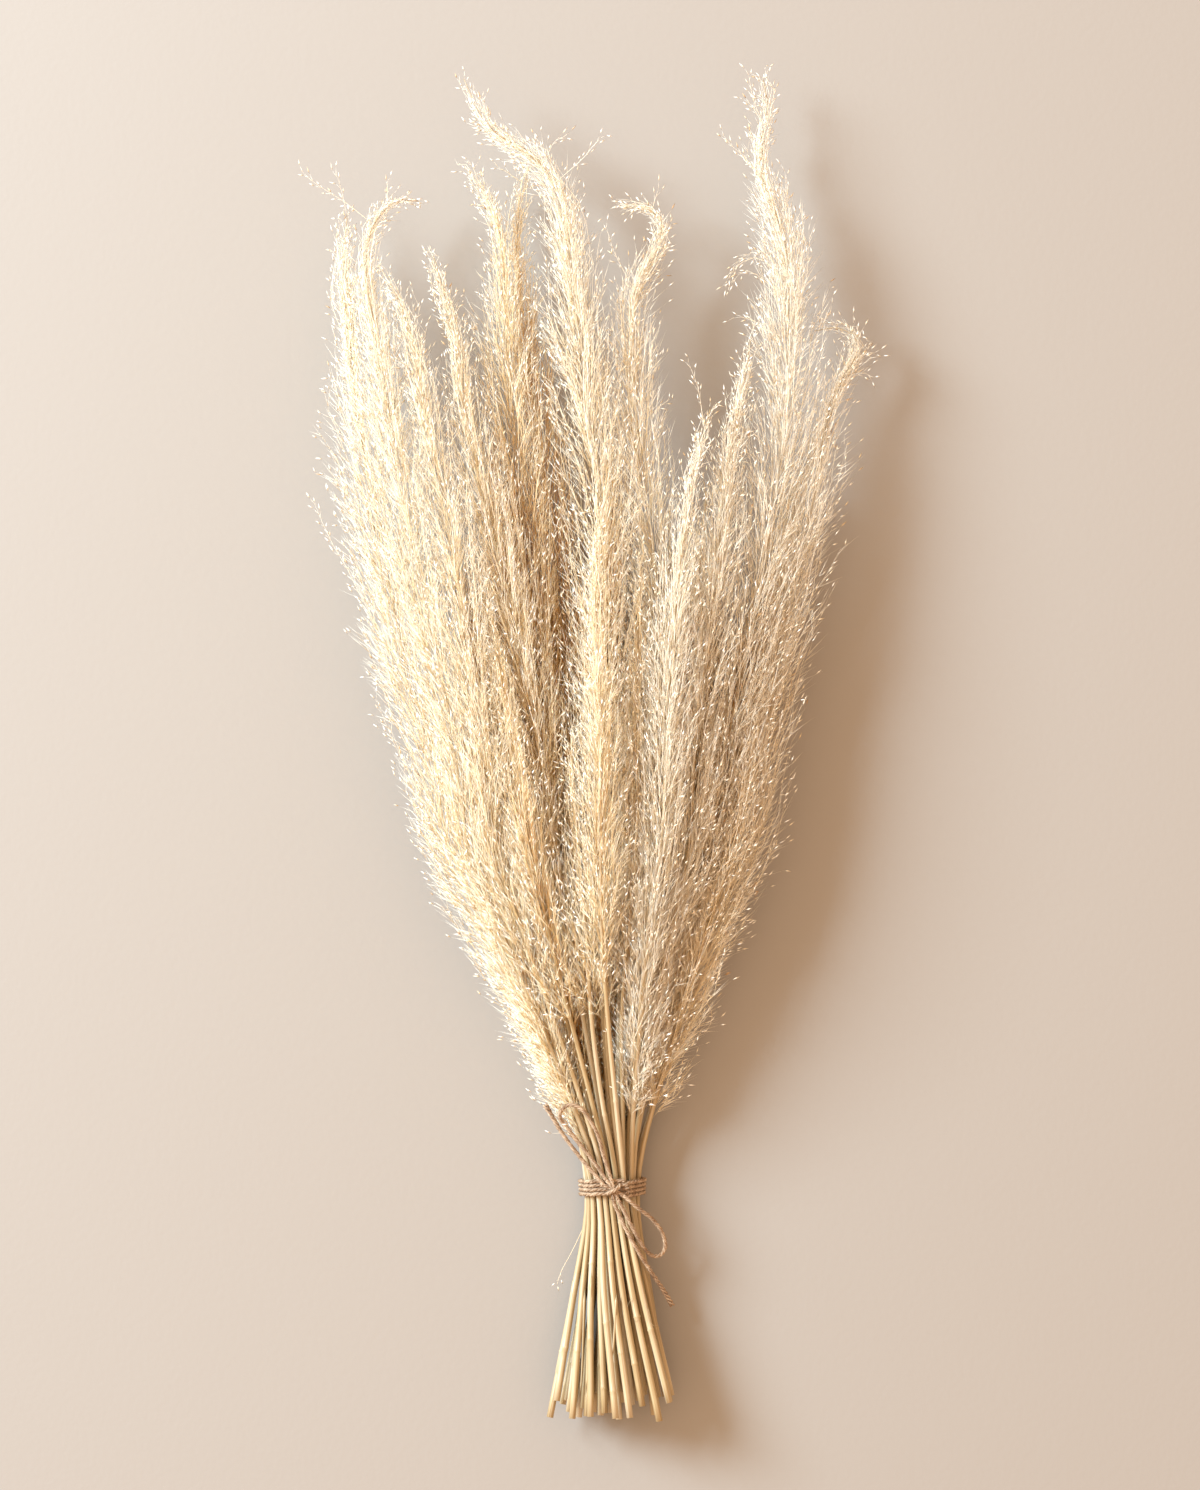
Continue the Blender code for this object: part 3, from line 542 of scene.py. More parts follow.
def culm_line(culm, place):
    """The culm's middle line from its cut end to its tip, and the room round it at each point."""
    line = []
    room = []
    inside = [y for y in STATIONS if culm.butt < y < culm.tip - SHORTEST_SPAN]
    for along in [culm.butt] + inside + [culm.tip]:
        line.append(middle_at(place, along))
        room.append(culm.reach(along))
    last = line[-1]
    for step, point in enumerate(culm.crook, start=1):
        share = step / len(culm.crook)
        x = last.x + point.x - culm.route[-1].x
        line.append(Vector((x, point.y, last.z - CROOK_DROP * share)))
        room.append(SHOULDER_ROOM + (TIP_ROOM - SHOULDER_ROOM) * share)
    return line, room


def line_lengths(line):
    """The distance along the line to each of its points."""
    lengths = [0.0]
    for before, after in zip(line, line[1:]):
        lengths.append(lengths[-1] + (after - before).length)
    return lengths


def smooth_route(points, step):
    """Evenly spaced points on a smooth curve through the route's own points."""
    ends = [2 * points[0] - points[1]] + points + [2 * points[-1] - points[-2]]
    fine = []
    for before, start, end, after in zip(ends, ends[1:], ends[2:], ends[3:]):
        for part in range(ROUTE_PARTS):
            share = part / ROUTE_PARTS
            bend = 2 * before - 5 * start + 4 * end - after
            twist = 3 * start - before - 3 * end + after
            fine.append(start + 0.5 * share * (end - before + share * (bend + share * twist)))
    fine.append(points[-1])
    lengths = line_lengths(fine)
    count = max(2, round(lengths[-1] / step))
    places = [lengths[-1] * index / count for index in range(count + 1)]
    return [Vector([float(np.interp(place, lengths, [point[axis] for point in fine])) for axis in range(3)])
            for place in places]


def wrap_line(places):
    """The path of the tight wraps: a string pulled round the outermost stems of the tied section."""
    clear = TWINE_GAP + TWINE_RADIUS
    line = []
    whole = WRAP_TURNS * WRAP_STEPS
    for step in range(whole + 1):
        angle = WRAP_START + 2 * math.pi * step / WRAP_STEPS
        along = WRAP_PITCH * (0.5 * WRAP_TURNS - step / WRAP_STEPS) + WRAP_TILT * math.cos(angle)
        outward = Vector((math.cos(angle), 0.0, math.sin(angle)))
        radius = float(size_at(STEM_SIZES, along)) + clear
        rims = [middle_at(place, along) + outward * radius for place in places]
        line.append(max(rims, key=lambda rim: rim.dot(outward)))
    return line


def unit(vectors):
    """The vectors at length one."""
    return vectors / np.linalg.norm(vectors, axis=-1, keepdims=True)


class Line:
    """A smooth line that straight things are bent along, with a level side and a rise at each point."""

    def __init__(self, points):
        self.places = np.array(points)
        spans = np.linalg.norm(np.diff(self.places, axis=0), axis=1)
        self.lengths = np.concatenate(([0.0], np.cumsum(spans)))
        self.length = self.lengths[-1]
        self.ways = unit(np.gradient(self.places, self.lengths, axis=0))
        self.sides = unit(np.cross(self.ways, (0.0, 0.0, 1.0)))

    def read(self, table, distance):
        """One of the line's own tables at any distances along it."""
        return np.stack([np.interp(distance, self.lengths, table[:, axis]) for axis in range(3)], axis=-1)

    def bent(self, across, along, up):
        """Where points of a straight thing go: across and up from the line, at distances along it."""
        way = unit(self.read(self.ways, along))
        side = self.read(self.sides, along)
        side = unit(side - way * (side * way).sum(axis=-1, keepdims=True))
        rise = np.cross(side, way)
        past = along - np.clip(along, 0.0, self.length)
        place = self.read(self.places, along) + way * past[..., None]
        return place + side * across[..., None] + rise * up[..., None]


def deselect_all():
    """Deselect every object, so that an operator acts on new pieces only."""
    bpy.ops.object.select_all(action="DESELECT")


def edit_selected(choose, kind="VERT"):
    """In edit mode, select just the vertices, edges or faces that are chosen by their place or normal."""
    bpy.ops.mesh.select_mode(type=kind)
    bpy.ops.mesh.select_all(action="DESELECT")
    shape = bmesh.from_edit_mesh(bpy.context.object.data)
    items = {"VERT": shape.verts, "EDGE": shape.edges, "FACE": shape.faces}[kind]
    for item in items:
        item.select = choose(item)
    shape.select_flush_mode()
    bmesh.update_edit_mesh(bpy.context.object.data)


def is_lengthwise(edge):
    """True for an edge that runs along Y."""
    run = edge.verts[1].co - edge.verts[0].co
    return abs(run.y) > MOSTLY * run.length


class Hair:
    """A three-sided hair along Y, modelled once: each vertex's ring and its place in it, and the faces.

    It runs to a point at both ends, or if it has one level only, from a flat foot to a point.
    """

    def __init__(self, name, levels):
        deselect_all()
        bpy.ops.mesh.primitive_cylinder_add(vertices=3, radius=1.0, depth=1.0, end_fill_type="NGON",
                                            rotation=(-math.pi / 2, 0.0, 0.0), location=(0.0, 0.5, 0.0))
        bpy.ops.object.transform_apply(location=True, rotation=True, scale=True)
        piece = bpy.context.object
        piece.name = name
        bpy.ops.object.mode_set(mode="EDIT")
        if levels > 1:
            edit_selected(is_lengthwise, "EDGE")
            bpy.ops.mesh.subdivide(number_cuts=levels - 1)
        for end in (0.0, 1.0) if levels > 1 else (1.0,):
            edit_selected(lambda vert: abs(vert.co.y - end) < END_REACH)
            bpy.ops.mesh.merge(type="CENTER")
        bpy.ops.mesh.select_all(action="SELECT")
        bpy.ops.mesh.quads_convert_to_tris()
        bpy.ops.mesh.normals_make_consistent(inside=False)
        bpy.ops.object.mode_set(mode="OBJECT")
        places = np.array([vert.co for vert in piece.data.vertices])
        self.level = np.rint(places[:, 1] * levels).astype(int)
        self.across = places[:, 0]
        self.up = places[:, 2]
        self.faces = np.array([face.vertices for face in piece.data.polygons])
        self.shares = np.arange(levels + 1) / levels
        bpy.data.objects.remove(piece, do_unlink=True)

    def swept(self, centres, radii, turns):
        """Copies of the hair, each bent along its own row of centres and as thick as its own radii."""
        way = unit(centres[:, -1] - centres[:, 0])
        helper = np.where(np.abs(way[:, 2:]) < MOSTLY, (0.0, 0.0, 1.0), (1.0, 0.0, 0.0))
        side = unit(np.cross(way, helper))
        rise = np.cross(side, way)
        cos = np.cos(turns)[:, None]
        sin = np.sin(turns)[:, None]
        across = side * cos + rise * sin
        up = rise * cos - side * sin
        ring = radii[:, self.level, None]
        spread = across[:, None] * self.across[:, None] + up[:, None] * self.up[:, None]
        return centres[:, self.level] + ring * spread


def copies_mesh(name, groups):
    """One mesh of many copies: each group is a hair, its copies' vertices, a slot and their tones."""
    vertices = []
    faces = []
    slots = []
    tones = []
    count = 0
    for hair, points, slot, tone in groups:
        copies, each = points.shape[:2]
        starts = count + each * np.arange(copies)
        vertices.append(points.reshape(-1, 3))
        faces.append((starts[:, None, None] + hair.faces).reshape(-1, 3))
        slots.append(np.full(copies * len(hair.faces), slot))
        tones.append(tone.reshape(-1, 3))
        count += copies * each
    vertices = np.concatenate(vertices)
    faces = np.concatenate(faces)
    mesh = bpy.data.meshes.new(name)
    mesh.vertices.add(len(vertices))
    mesh.vertices.foreach_set("co", vertices.astype(np.float32).ravel())
    mesh.loops.add(faces.size)
    mesh.loops.foreach_set("vertex_index", faces.astype(np.int32).ravel())
    mesh.polygons.add(len(faces))
    mesh.polygons.foreach_set("loop_start", np.arange(0, faces.size, 3, dtype=np.int32))
    mesh.polygons.foreach_set("material_index", np.concatenate(slots).astype(np.int32))
    mesh.update(calc_edges=True)
    mesh.shade_smooth()
    tone = mesh.attributes.new("tone", "FLOAT_VECTOR", "POINT")
    tone.data.foreach_set("vector", np.concatenate(tones).astype(np.float32).ravel())
    return mesh


def link_new(name, data):
    """A new object for the data, in the scene."""
    piece = bpy.data.objects.new(name, data)
    bpy.context.scene.collection.objects.link(piece)
    return piece


def linear(hex_colour):
    """An sRGB hex colour as linear numbers with full alpha."""
    parts = [int(hex_colour[index:index + 2], 16) / 255 for index in (1, 3, 5)]
    return [part / 12.92 if part <= 0.04045 else ((part + 0.055) / 1.055) ** 2.4 for part in parts] + [1.0]


def new_material(name, hex_colour, roughness):
    """A material with its Principled node set to the finish's mean colour."""
    material = bpy.data.materials.new(name)
    material.use_nodes = True
    shader = material.node_tree.nodes["Principled BSDF"]
    shader.inputs["Base Color"].default_value = linear(hex_colour)
    shader.inputs["Roughness"].default_value = roughness
    return material, shader


def add_node(material, kind, inputs=None, **settings):
    """Add a node with its settings; an input takes a value or another node's output."""
    tree = material.node_tree
    node = tree.nodes.new(kind)
    for name, value in settings.items():
        setattr(node, name, value)
    for name, value in (inputs or {}).items():
        if isinstance(value, bpy.types.NodeSocket):
            tree.links.new(value, node.inputs[name])
        else:
            node.inputs[name].default_value = value
    return node


def calculate(material, operation, *values, use_clamp=False):
    """The result of a math node on values or on other nodes' outputs."""
    node = add_node(material, "ShaderNodeMath", dict(enumerate(values)), operation=operation,
                    use_clamp=use_clamp)
    return node.outputs["Value"]


def noise(material, places, scale, detail=2.0):
    """A noise pattern over the places, at one scale or at one for each axis."""
    if isinstance(scale, tuple):
        places = add_node(material, "ShaderNodeMapping", {"Vector": places, "Scale": scale}).outputs["Vector"]
        scale = 1.0
    node = add_node(material, "ShaderNodeTexNoise", {"Vector": places, "Scale": scale, "Detail": detail})
    return node.outputs["Fac"]


def set_colour(material, shader, factor, stops):
    """Colour the finish by a ramp on a factor, from (place, hex colour) pairs."""
    node = add_node(material, "ShaderNodeValToRGB", {"Fac": factor})
    elements = node.color_ramp.elements
    while len(elements) < len(stops):
        elements.new(0.5)
    for element, (place, hex_colour) in zip(elements, stops):
        element.position = place
        element.color = linear(hex_colour)
    material.node_tree.links.new(node.outputs["Color"], shader.inputs["Base Color"])


def set_relief(material, shader, height, strength, distance):
    """Give the finish a fine relief from a pattern."""
    bump = add_node(material, "ShaderNodeBump",
                    {"Height": height, "Strength": strength, "Distance": distance})
    material.node_tree.links.new(bump.outputs["Normal"], shader.inputs["Normal"])


def tone_parts(material):
    """Each hair's own chance, how far along it the point is and its painted light and shade by place, from
    its tone.
    """
    tone = add_node(material, "ShaderNodeAttribute", attribute_name="tone").outputs["Vector"]
    return add_node(material, "ShaderNodeSeparateXYZ", {"Vector": tone}).outputs


def straw_material():
    """Dried grass stalk: waxy straw with fine lengthwise streaks and a satin gloss."""
    material, shader = new_material("dried_straw_stalk", "#E2CB92", roughness=0.42)
    straight = add_node(material, "ShaderNodeAttribute", attribute_name="straight").outputs["Vector"]
    streaks = noise(material, straight, STREAK_SCALE)
    both = calculate(material, "ADD", streaks, noise(material, straight, STALK_PATCH_SCALE))
    set_colour(material, shader, calculate(material, "MULTIPLY", both, 0.5),
               ((0.34, "#8A714C"), (0.46, "#A99269"), (0.58, "#B8A687"), (0.70, "#C7BDAB")))
    set_relief(material, shader, streaks, strength=0.25, distance=0.0002)
    return material


def branch_material():
    """Hair-fine dried panicle branch that light glows through, golden at root, bleached at tip, with painted
    shade and light.
    """
    material, shader = new_material("dried_panicle_branch", "#F3E4C3", roughness=0.5)
    shader.inputs["Subsurface Weight"].default_value = 0.3
    shader.inputs["Subsurface Radius"].default_value = (1.0, 0.8, 0.6)
    shader.inputs["Subsurface Scale"].default_value = 0.002
    parts = tone_parts(material)
    toned = calculate(material, "MULTIPLY", parts["X"], BRANCH_CHANCE)
    toned = calculate(material, "MULTIPLY_ADD", parts["Y"], BRANCH_BLEACHED, toned)
    toned = calculate(material, "MULTIPLY_ADD", parts["Z"], BRANCH_LIGHT_AND_SHADE, toned)
    # Low on the ramp is golden painted shade deep in the heads; high is painted light on exposed hairs and
    # bleached tips
    set_colour(material, shader, toned,
               ((0.16, "#B8681A"), (0.34, "#E3A654"), (0.52, "#F8DDA6"), (0.80, "#FAEDD2")))
    return material


def spikelet_material():
    """Papery glumes: near white with a faint sheen, turned tan deep inside the heads by painted shade."""
    material, shader = new_material("papery_spikelet", "#F9F0DA", roughness=0.38)
    parts = tone_parts(material)
    # Painted shade: spikelets deep inside the heads are pushed towards the tan end of the ramp
    painted_light = calculate(material, "MULTIPLY_ADD", parts["Z"], *SPIKELET_PAINTED_SHADE, use_clamp=True)
    set_colour(material, shader, calculate(material, "MULTIPLY", parts["X"], painted_light),
               ((0.0, "#B08656"), (0.05, "#D6BA8E"), (0.14, "#EEDFC0"), (0.6, "#F6EEDC"), (1.0, "#FBF6EA")))
    return material


def jute_material():
    """Spun jute: dull tan bast fibre, mottled by its fibres and its uneven dye."""
    material, shader = new_material("spun_jute", "#A98560", roughness=0.85)
    place = add_node(material, "ShaderNodeTexCoord").outputs["Object"]
    fibres = noise(material, place, JUTE_FIBRE_SCALE, detail=4.0)
    both = calculate(material, "ADD", fibres, noise(material, place, JUTE_PATCH_SCALE))
    set_colour(material, shader, calculate(material, "MULTIPLY", both, 0.5),
               ((0.32, "#6A5038"), (0.46, "#957A60"), (0.58, "#B39A7E"), (0.72, "#D3BFA4")))
    set_relief(material, shader, fibres, strength=0.6, distance=0.0003)
    return material


def board_material():
    """The floor's matte painted board: pale grey that the warm light turns beige, with a faint tooth."""
    material, shader = new_material("matte_board", "#98938C", roughness=0.9)
    place = add_node(material, "ShaderNodeTexCoord").outputs["Object"]
    tooth = noise(material, place, BOARD_TOOTH_SCALE, detail=3.0)
    set_relief(material, shader, tooth, strength=0.12, distance=0.0006)
    return material


def place_camera():
    """A camera straight above, at the photograph's framing."""
    camera = bpy.data.cameras.new("camera")
    camera.sensor_fit = "HORIZONTAL"
    camera.sensor_width = SENSOR_WIDTH
    camera.lens = SENSOR_WIDTH * CAMERA_DISTANCE / FIELD_WIDTH
    holder = link_new("camera", camera)
    holder.location = (*FIELD_CENTRE, FIELD_LEVEL + CAMERA_DISTANCE)
    bpy.context.scene.camera = holder


def light_scene():
    """A large soft key turned to the bundle, and a pale room round it."""
    lamp = bpy.data.lights.new("key", "AREA")
    lamp.energy = KEY_POWER
    lamp.color = linear(KEY_COLOUR)[:3]
    lamp.size = KEY_SIZE
    key = link_new("key", lamp)
    key.location = KEY_SPOT
    key.rotation_euler = (-Vector(KEY_SPOT)).to_track_quat("-Z", "Y").to_euler()
    world = bpy.data.worlds.new("room")
    world.use_nodes = True
    background = world.node_tree.nodes["Background"]
    background.inputs["Color"].default_value = linear(ROOM_COLOUR)
    background.inputs["Strength"].default_value = ROOM_STRENGTH
    bpy.context.scene.world = world
    bpy.context.scene.view_settings.view_transform = "Standard"


def lay_floor():
    """The plain pale surface that the bundle lies on."""
    deselect_all()
    bpy.ops.mesh.primitive_plane_add(size=FLOOR_SIZE, location=(0.0, 0.0, 0.0))
    floor = bpy.context.object
    floor.name = "floor"
    floor.data.materials.append(board_material())


def ply_points(line, phase, spread):
    """The path of one ply round the twine's own line, with its offset growing by the spread at the end."""
    count = max(FEWEST_STEPS, int(line.length / PLY_STEP))
    along = np.linspace(0.0, line.length, count)
    turn = phase + 2 * math.pi * along / PLY_LAY
    share = along / line.length
    offset = PLY_OFFSET * (1 + spread * np.clip((share - SPREAD_FROM) / SPREAD_OVER, 0.0, 1.0))
    return line.bent(offset * np.cos(turn), along, offset * np.sin(turn))


def ply_object(name, points):
    """One ply as a round bar, made from a curve."""
    curve = bpy.data.curves.new(name, "CURVE")
    curve.dimensions = "3D"
    curve.bevel_depth = PLY_RADIUS
    curve.bevel_resolution = 1
    curve.use_fill_caps = True
    spline = curve.splines.new("POLY")
    spline.points.add(len(points) - 1)
    for spot, point in zip(spline.points, points):
        spot.co = (point[0], point[1], point[2], 1.0)
    return link_new(name, curve)


def joined(pieces, name):
    """The pieces as one mesh object, with curves made meshes first."""
    deselect_all()
    for piece in pieces:
        piece.select_set(True)
    bpy.context.view_layer.objects.active = pieces[0]
    if pieces[0].type == "CURVE":
        bpy.ops.object.convert(target="MESH")
    bpy.ops.object.join()
    whole = bpy.context.object
    whole.name = name
    whole.data.name = name
    return whole


def weld(piece):
    """Merge the piece's doubled points, turn its faces outwards and shade it smooth."""
    deselect_all()
    piece.select_set(True)
    bpy.context.view_layer.objects.active = piece
    bpy.ops.object.mode_set(mode="EDIT")
    bpy.ops.mesh.select_all(action="SELECT")
    bpy.ops.mesh.remove_doubles(threshold=WELD)
    bpy.ops.mesh.normals_make_consistent(inside=False)
    bpy.ops.object.mode_set(mode="OBJECT")
    piece.data.shade_smooth()


def fibres_on(line, draw, fibre):
    """Loose fibres along a stretch of twine: each one's centre line, off the surface, and its radii."""
    count = int(line.length / FIBRE_SPACING)
    along = draw.uniform(0.0, line.length, count)
    angle = draw.uniform(0.0, 2 * math.pi, count)
    length = draw.uniform(*FIBRE_LENGTH, count)
    lift = draw.uniform(*FIBRE_LIFT, count) * length
    shares = fibre.shares
    out = FIBRE_ROOT * TWINE_RADIUS + lift[:, None] * shares ** FIBRE_CURL
    swing = angle[:, None] + draw.uniform(*FIBRE_SWING, count)[:, None] * shares
    heading = draw.choice((-1.0, 1.0), count)[:, None]
    run = np.clip(along[:, None] + heading * length[:, None] * shares, -FIBRE_PAST, line.length + FIBRE_PAST)
    centres = line.bent(out * np.cos(swing), run, out * np.sin(swing))
    radii = FIBRE_RADIUS * np.ones((count, len(shares)))
    return centres, radii


def twine_piece(name, routes, jute, fibre, draw, spread=0.0):
    """A stretch of three-ply twine along one or more routes, with its loose fibres, as one piece."""
    plies = []
    centres = []
    radii = []
    for route in routes:
        line = Line(smooth_route(route, PLY_STEP))
        for ply in range(PLIES):
            phase = 2 * math.pi * ply / PLIES
            plies.append(ply_object(name + "_ply", ply_points(line, phase, spread)))
        some_centres, some_radii = fibres_on(line, draw, fibre)
        centres.append(some_centres)
        radii.append(some_radii)
    whole = joined(plies, name)
    weld(whole)
    centres = lifted(np.concatenate(centres))
    points = fibre.swept(centres, np.concatenate(radii), np.zeros(len(centres)))
    fuzz = copies_mesh(name + "_fibres", [(fibre, points, 0, np.ones(points.shape))])
    whole = joined([whole, link_new(name + "_fibres", fuzz)], name)
    whole.data.materials.clear()
    whole.data.materials.append(jute)
    return whole


def tie_twine(places, jute, fibre, draw):
    """The tight wraps and the knot, in place of the CAD tie."""
    wraps = [point + ORIGIN_SHIFT for point in wrap_line(places)]
    for point in wraps:
        point.z = max(point.z, PLY_OFFSET + PLY_RADIUS)
    middle = KNOT_MIDDLE + ORIGIN_SHIFT
    routes = [wraps]
    for name, route in CORD_ROUTES.items():
        strand = [Vector(point) + ORIGIN_SHIFT for point in route]
        for exit_point in (strand[0], strand[-1]) if "loop" in name else (strand[0],):
            start = middle - (exit_point - middle).normalized() * KNOT_OVERRUN
            routes.append([start, start.lerp(exit_point, 0.5), exit_point])
    routes.append([Vector(point) + ORIGIN_SHIFT for point in KNOT_BAND])
    tie = twine_piece("jute_tie", routes, jute, fibre, draw)
    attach(tie, "root")
    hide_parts("twine_tie")


def tie_cord(name, jute, fibre, draw):
    """One free strand of the bow, in place of its CAD node."""
    route = [Vector(point) + ORIGIN_SHIFT for point in CORD_ROUTES[name]]
    is_tail = "tail" in name
    spread = TAIL_SPREAD if is_tail else 0.0
    cord = twine_piece(name.replace("twine", "jute"), [route], jute, fibre, draw, spread)
    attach(cord, "root")
    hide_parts(name)


def stalk_joints(length, draw):
    """Where a stalk's joints are: one or two below the tie, and one above."""
    places = [draw.uniform(*LOWER_JOINT)]
    if draw.random() < SECOND_JOINT_SHARE:
        places.append(places[0] + draw.uniform(*JOINT_SPACING))
    places.append(draw.uniform(*UPPER_JOINT))
    return [place for place in places if place < length]


def ring_at(place):
    """Cut a ring of edges round the stalk that is being edited, at a distance along it."""
    bpy.ops.mesh.select_all(action="SELECT")
    bpy.ops.mesh.bisect(plane_co=(0.0, place, 0.0), plane_no=(0.0, 1.0, 0.0))


def model_stalk(name, length, draw):
    """A straight stalk along Y: a hollow cut end, a raised ring at each joint and, on some, a sheath."""
    deselect_all()
    bpy.ops.mesh.primitive_cylinder_add(vertices=STALK_SIDES, radius=STALK_RADIUS, depth=length,
                                        rotation=(-math.pi / 2, 0.0, 0.0), location=(0.0, length / 2, 0.0))
    bpy.ops.object.transform_apply(location=True, rotation=True, scale=True)
    stalk = bpy.context.object
    stalk.name = name
    bpy.ops.object.mode_set(mode="EDIT")
    edit_selected(is_lengthwise, "EDGE")
    bpy.ops.mesh.subdivide(number_cuts=int(length / STALK_RING))
    for place in stalk_joints(length, draw):
        for offset in (-JOINT_HALF, 0.0, JOINT_HALF):
            ring_at(place + offset)
        edit_selected(lambda vert: abs(vert.co.y - place) < 0.5 * JOINT_HALF)
        bpy.ops.transform.resize(value=(JOINT_GROWTH, 1.0, JOINT_GROWTH))
    if draw.random() < SHEATH_SHARE:
        low = draw.uniform(*SHEATH_START)
        high = low + draw.uniform(*SHEATH_LENGTH)
        for place in (low, low + SHEATH_EDGE, high, high + SHEATH_EDGE):
            ring_at(place)
        inside = (low + 0.5 * SHEATH_EDGE, high + 0.5 * SHEATH_EDGE)
        edit_selected(lambda vert: inside[0] < vert.co.y < inside[1])
        bpy.ops.transform.resize(value=(SHEATH_GROWTH, 1.0, SHEATH_GROWTH))
    edit_selected(lambda face: face.normal.y < -MOSTLY, "FACE")
    bpy.ops.mesh.inset(thickness=STALK_WALL)
    bpy.ops.mesh.inset(thickness=0.0, depth=-STALK_PIT)
    bpy.ops.object.mode_set(mode="OBJECT")
    return stalk


def bend_stalk(stalk, line, butt, turn):
    """Bend the straight stalk along the culm's line, at its true thickness, and keep its straight places."""
    mesh = stalk.data
    places = np.array([vert.co for vert in mesh.vertices])
    kept = mesh.attributes.new("straight", "FLOAT_VECTOR", "POINT")
    shifted = places + turn * np.array(STREAK_SHIFT)
    kept.data.foreach_set("vector", shifted.astype(np.float32).ravel())
    size = size_at(STALK_SIZES, places[:, 1] + butt) / STALK_RADIUS
    bent = line.bent(places[:, 0] * size, places[:, 1], places[:, 2] * size)
    mesh.vertices.foreach_set("co", bent.astype(np.float32).ravel())
    mesh.update()
    mesh.shade_smooth()


def lifted(centres):
    """Raise each whole copy that would dip into the floor."""
    low = centres[..., 2].min(axis=1)
    centres[..., 2] += np.maximum(FLOOR_CLEAR - low, 0.0)[:, None]
    return centres


def head_start(culm):
    """How far above the tie the culm's head begins: lowest on the left, highest on top in the middle."""
    on_top = culm.share[1] > TOP_ROWS_FROM and TOP_COLUMNS[0] < culm.share[0] < TOP_COLUMNS[1]
    if on_top:
        base = HEAD_FROM_TOP
    elif culm.share[0] < 0.0:
        base = HEAD_FROM_LEFT
    else:
        base = HEAD_FROM_RIGHT
    return base + HEAD_FROM_VARIETY * (culm.turn / (2 * math.pi))


def slimness(left):
    """How much of its full spread a head has at a distance from its tip: less in the last stretch."""
    return SLIM_SHARE + (1 - SLIM_SHARE) * np.clip(left / SLIM_TIP, 0.0, 1.0)


def head_branches(culm, line, rooms, branch, draw):
    """The branches of one head: they climb the stalk, lean out to the head's width and end nearly upright."""
    first = head_start(culm) - culm.butt
    span = line.length - first
    root = first + (span - 0.5 * BRANCH_TIP_LENGTH) * np.sort(draw.random(int(BRANCHES_PER_METRE * span)))
    left = line.length - root
    kept = draw.random(len(root)) < np.clip(left / SPARSE_TIP, SPARSE_SHARE, 1.0)
    root = root[kept]
    left = left[kept]
    count = len(root)
    length = np.minimum(draw.uniform(*BRANCH_LENGTH, count), BRANCH_TIP_LENGTH + TIP_LENGTH_SHARE * left)
    near_foot = BRANCH_FOOT_LENGTH + FOOT_LENGTH_SHARE * (root - first)
    length = np.minimum(length, near_foot * draw.uniform(*FOOT_VARIETY, count))
    angle = GOLDEN_ANGLE * np.arange(count) + draw.normal(0.0, ROOT_VARIETY, count)
    end = root + length
    slim = slimness(line.length - end)
    lean = draw.uniform(*LEAN_RANGE, count) ** LEAN_POWER
    width = (culm.fluff * np.interp(end, rooms[0], rooms[1]) + LEAST_FLUFF) * slim * lean
    shares = branch.shares[None, :]
    out = width[:, None] * (FOOT_SPREAD + (1 - FOOT_SPREAD) * (1 - (1 - shares) ** SPREAD_POWER))
    sway = draw.uniform(*SWAY, count)[:, None] * shares
    unruly = np.where(draw.random(count) < UNRULY_SHARE, UNRULY_WAVE, CALM_WAVE)[:, None]
    wave = unruly * draw.normal(0.0, 1.0, (2, count, shares.size)) * np.minimum(1.0, WAVE_GROWTH * shares)
    along = root[:, None] + length[:, None] * shares
    heading = angle[:, None] + sway
    up = FLUFF_FLATNESS * out * np.sin(heading) + wave[1]
    centres = lifted(line.bent(out * np.cos(heading) + wave[0], along, up))
    outward = centres[:, -1] - line.bent(np.zeros(count), end, np.zeros(count))
    outward = unit(outward + draw.normal(0.0, OUTWARD_NOISE, (count, 3)))
    radii = BRANCH_RADIUS * draw.uniform(*HAIR_VARIETY, count)[:, None] * (HAIR_FOOT - HAIR_TAPER * shares)
    return centres, radii, outward, slim, lean


def head_twigs(centres, outward, slim, draw):
    """The twigs of all branches: each leaves its branch outwards and turns back beside it."""
    count = len(centres) * TWIGS_PER_BRANCH
    own = np.repeat(np.arange(len(centres)), TWIGS_PER_BRANCH)
    own = own[draw.random(count) < slim[own]]
    count = len(own)
    share = draw.uniform(*TWIG_SHARES, count)
    place = share * BRANCH_LEVELS
    low = np.minimum(place.astype(int), BRANCH_LEVELS - 1)
    start = centres[own, low]
    end = centres[own, low + 1]
    way = unit(end - start)
    base = start + (end - start) * (place - low)[:, None]
    across = outward[own] * TWIG_OUTWARD + draw.normal(0.0, TWIG_NOISE, (count, 3))
    across = unit(across - way * (across * way).sum(axis=1, keepdims=True))
    wider = TWIG_TIP_ANGLE - (TWIG_TIP_ANGLE - 1) * slim[own]
    angle = (draw.uniform(*TWIG_ANGLE, count) * wider)[:, None]
    heading = way * np.cos(angle) + across * np.sin(angle)
    branch_length = np.linalg.norm(centres[own, -1] - centres[own, 0], axis=1)
    length = draw.uniform(*TWIG_LENGTH, count) * (TWIG_FOOT_LENGTH - TWIG_SHORTENING * share) * slim[own]
    length = np.minimum(length, TWIG_LONGEST * branch_length)[:, None]
    ends = lifted(np.stack((base, base + heading * length), axis=1))
    radii = TWIG_RADIUS * draw.uniform(*TWIG_VARIETY, count)[:, None] * np.ones((1, 2))
    return ends, radii, own


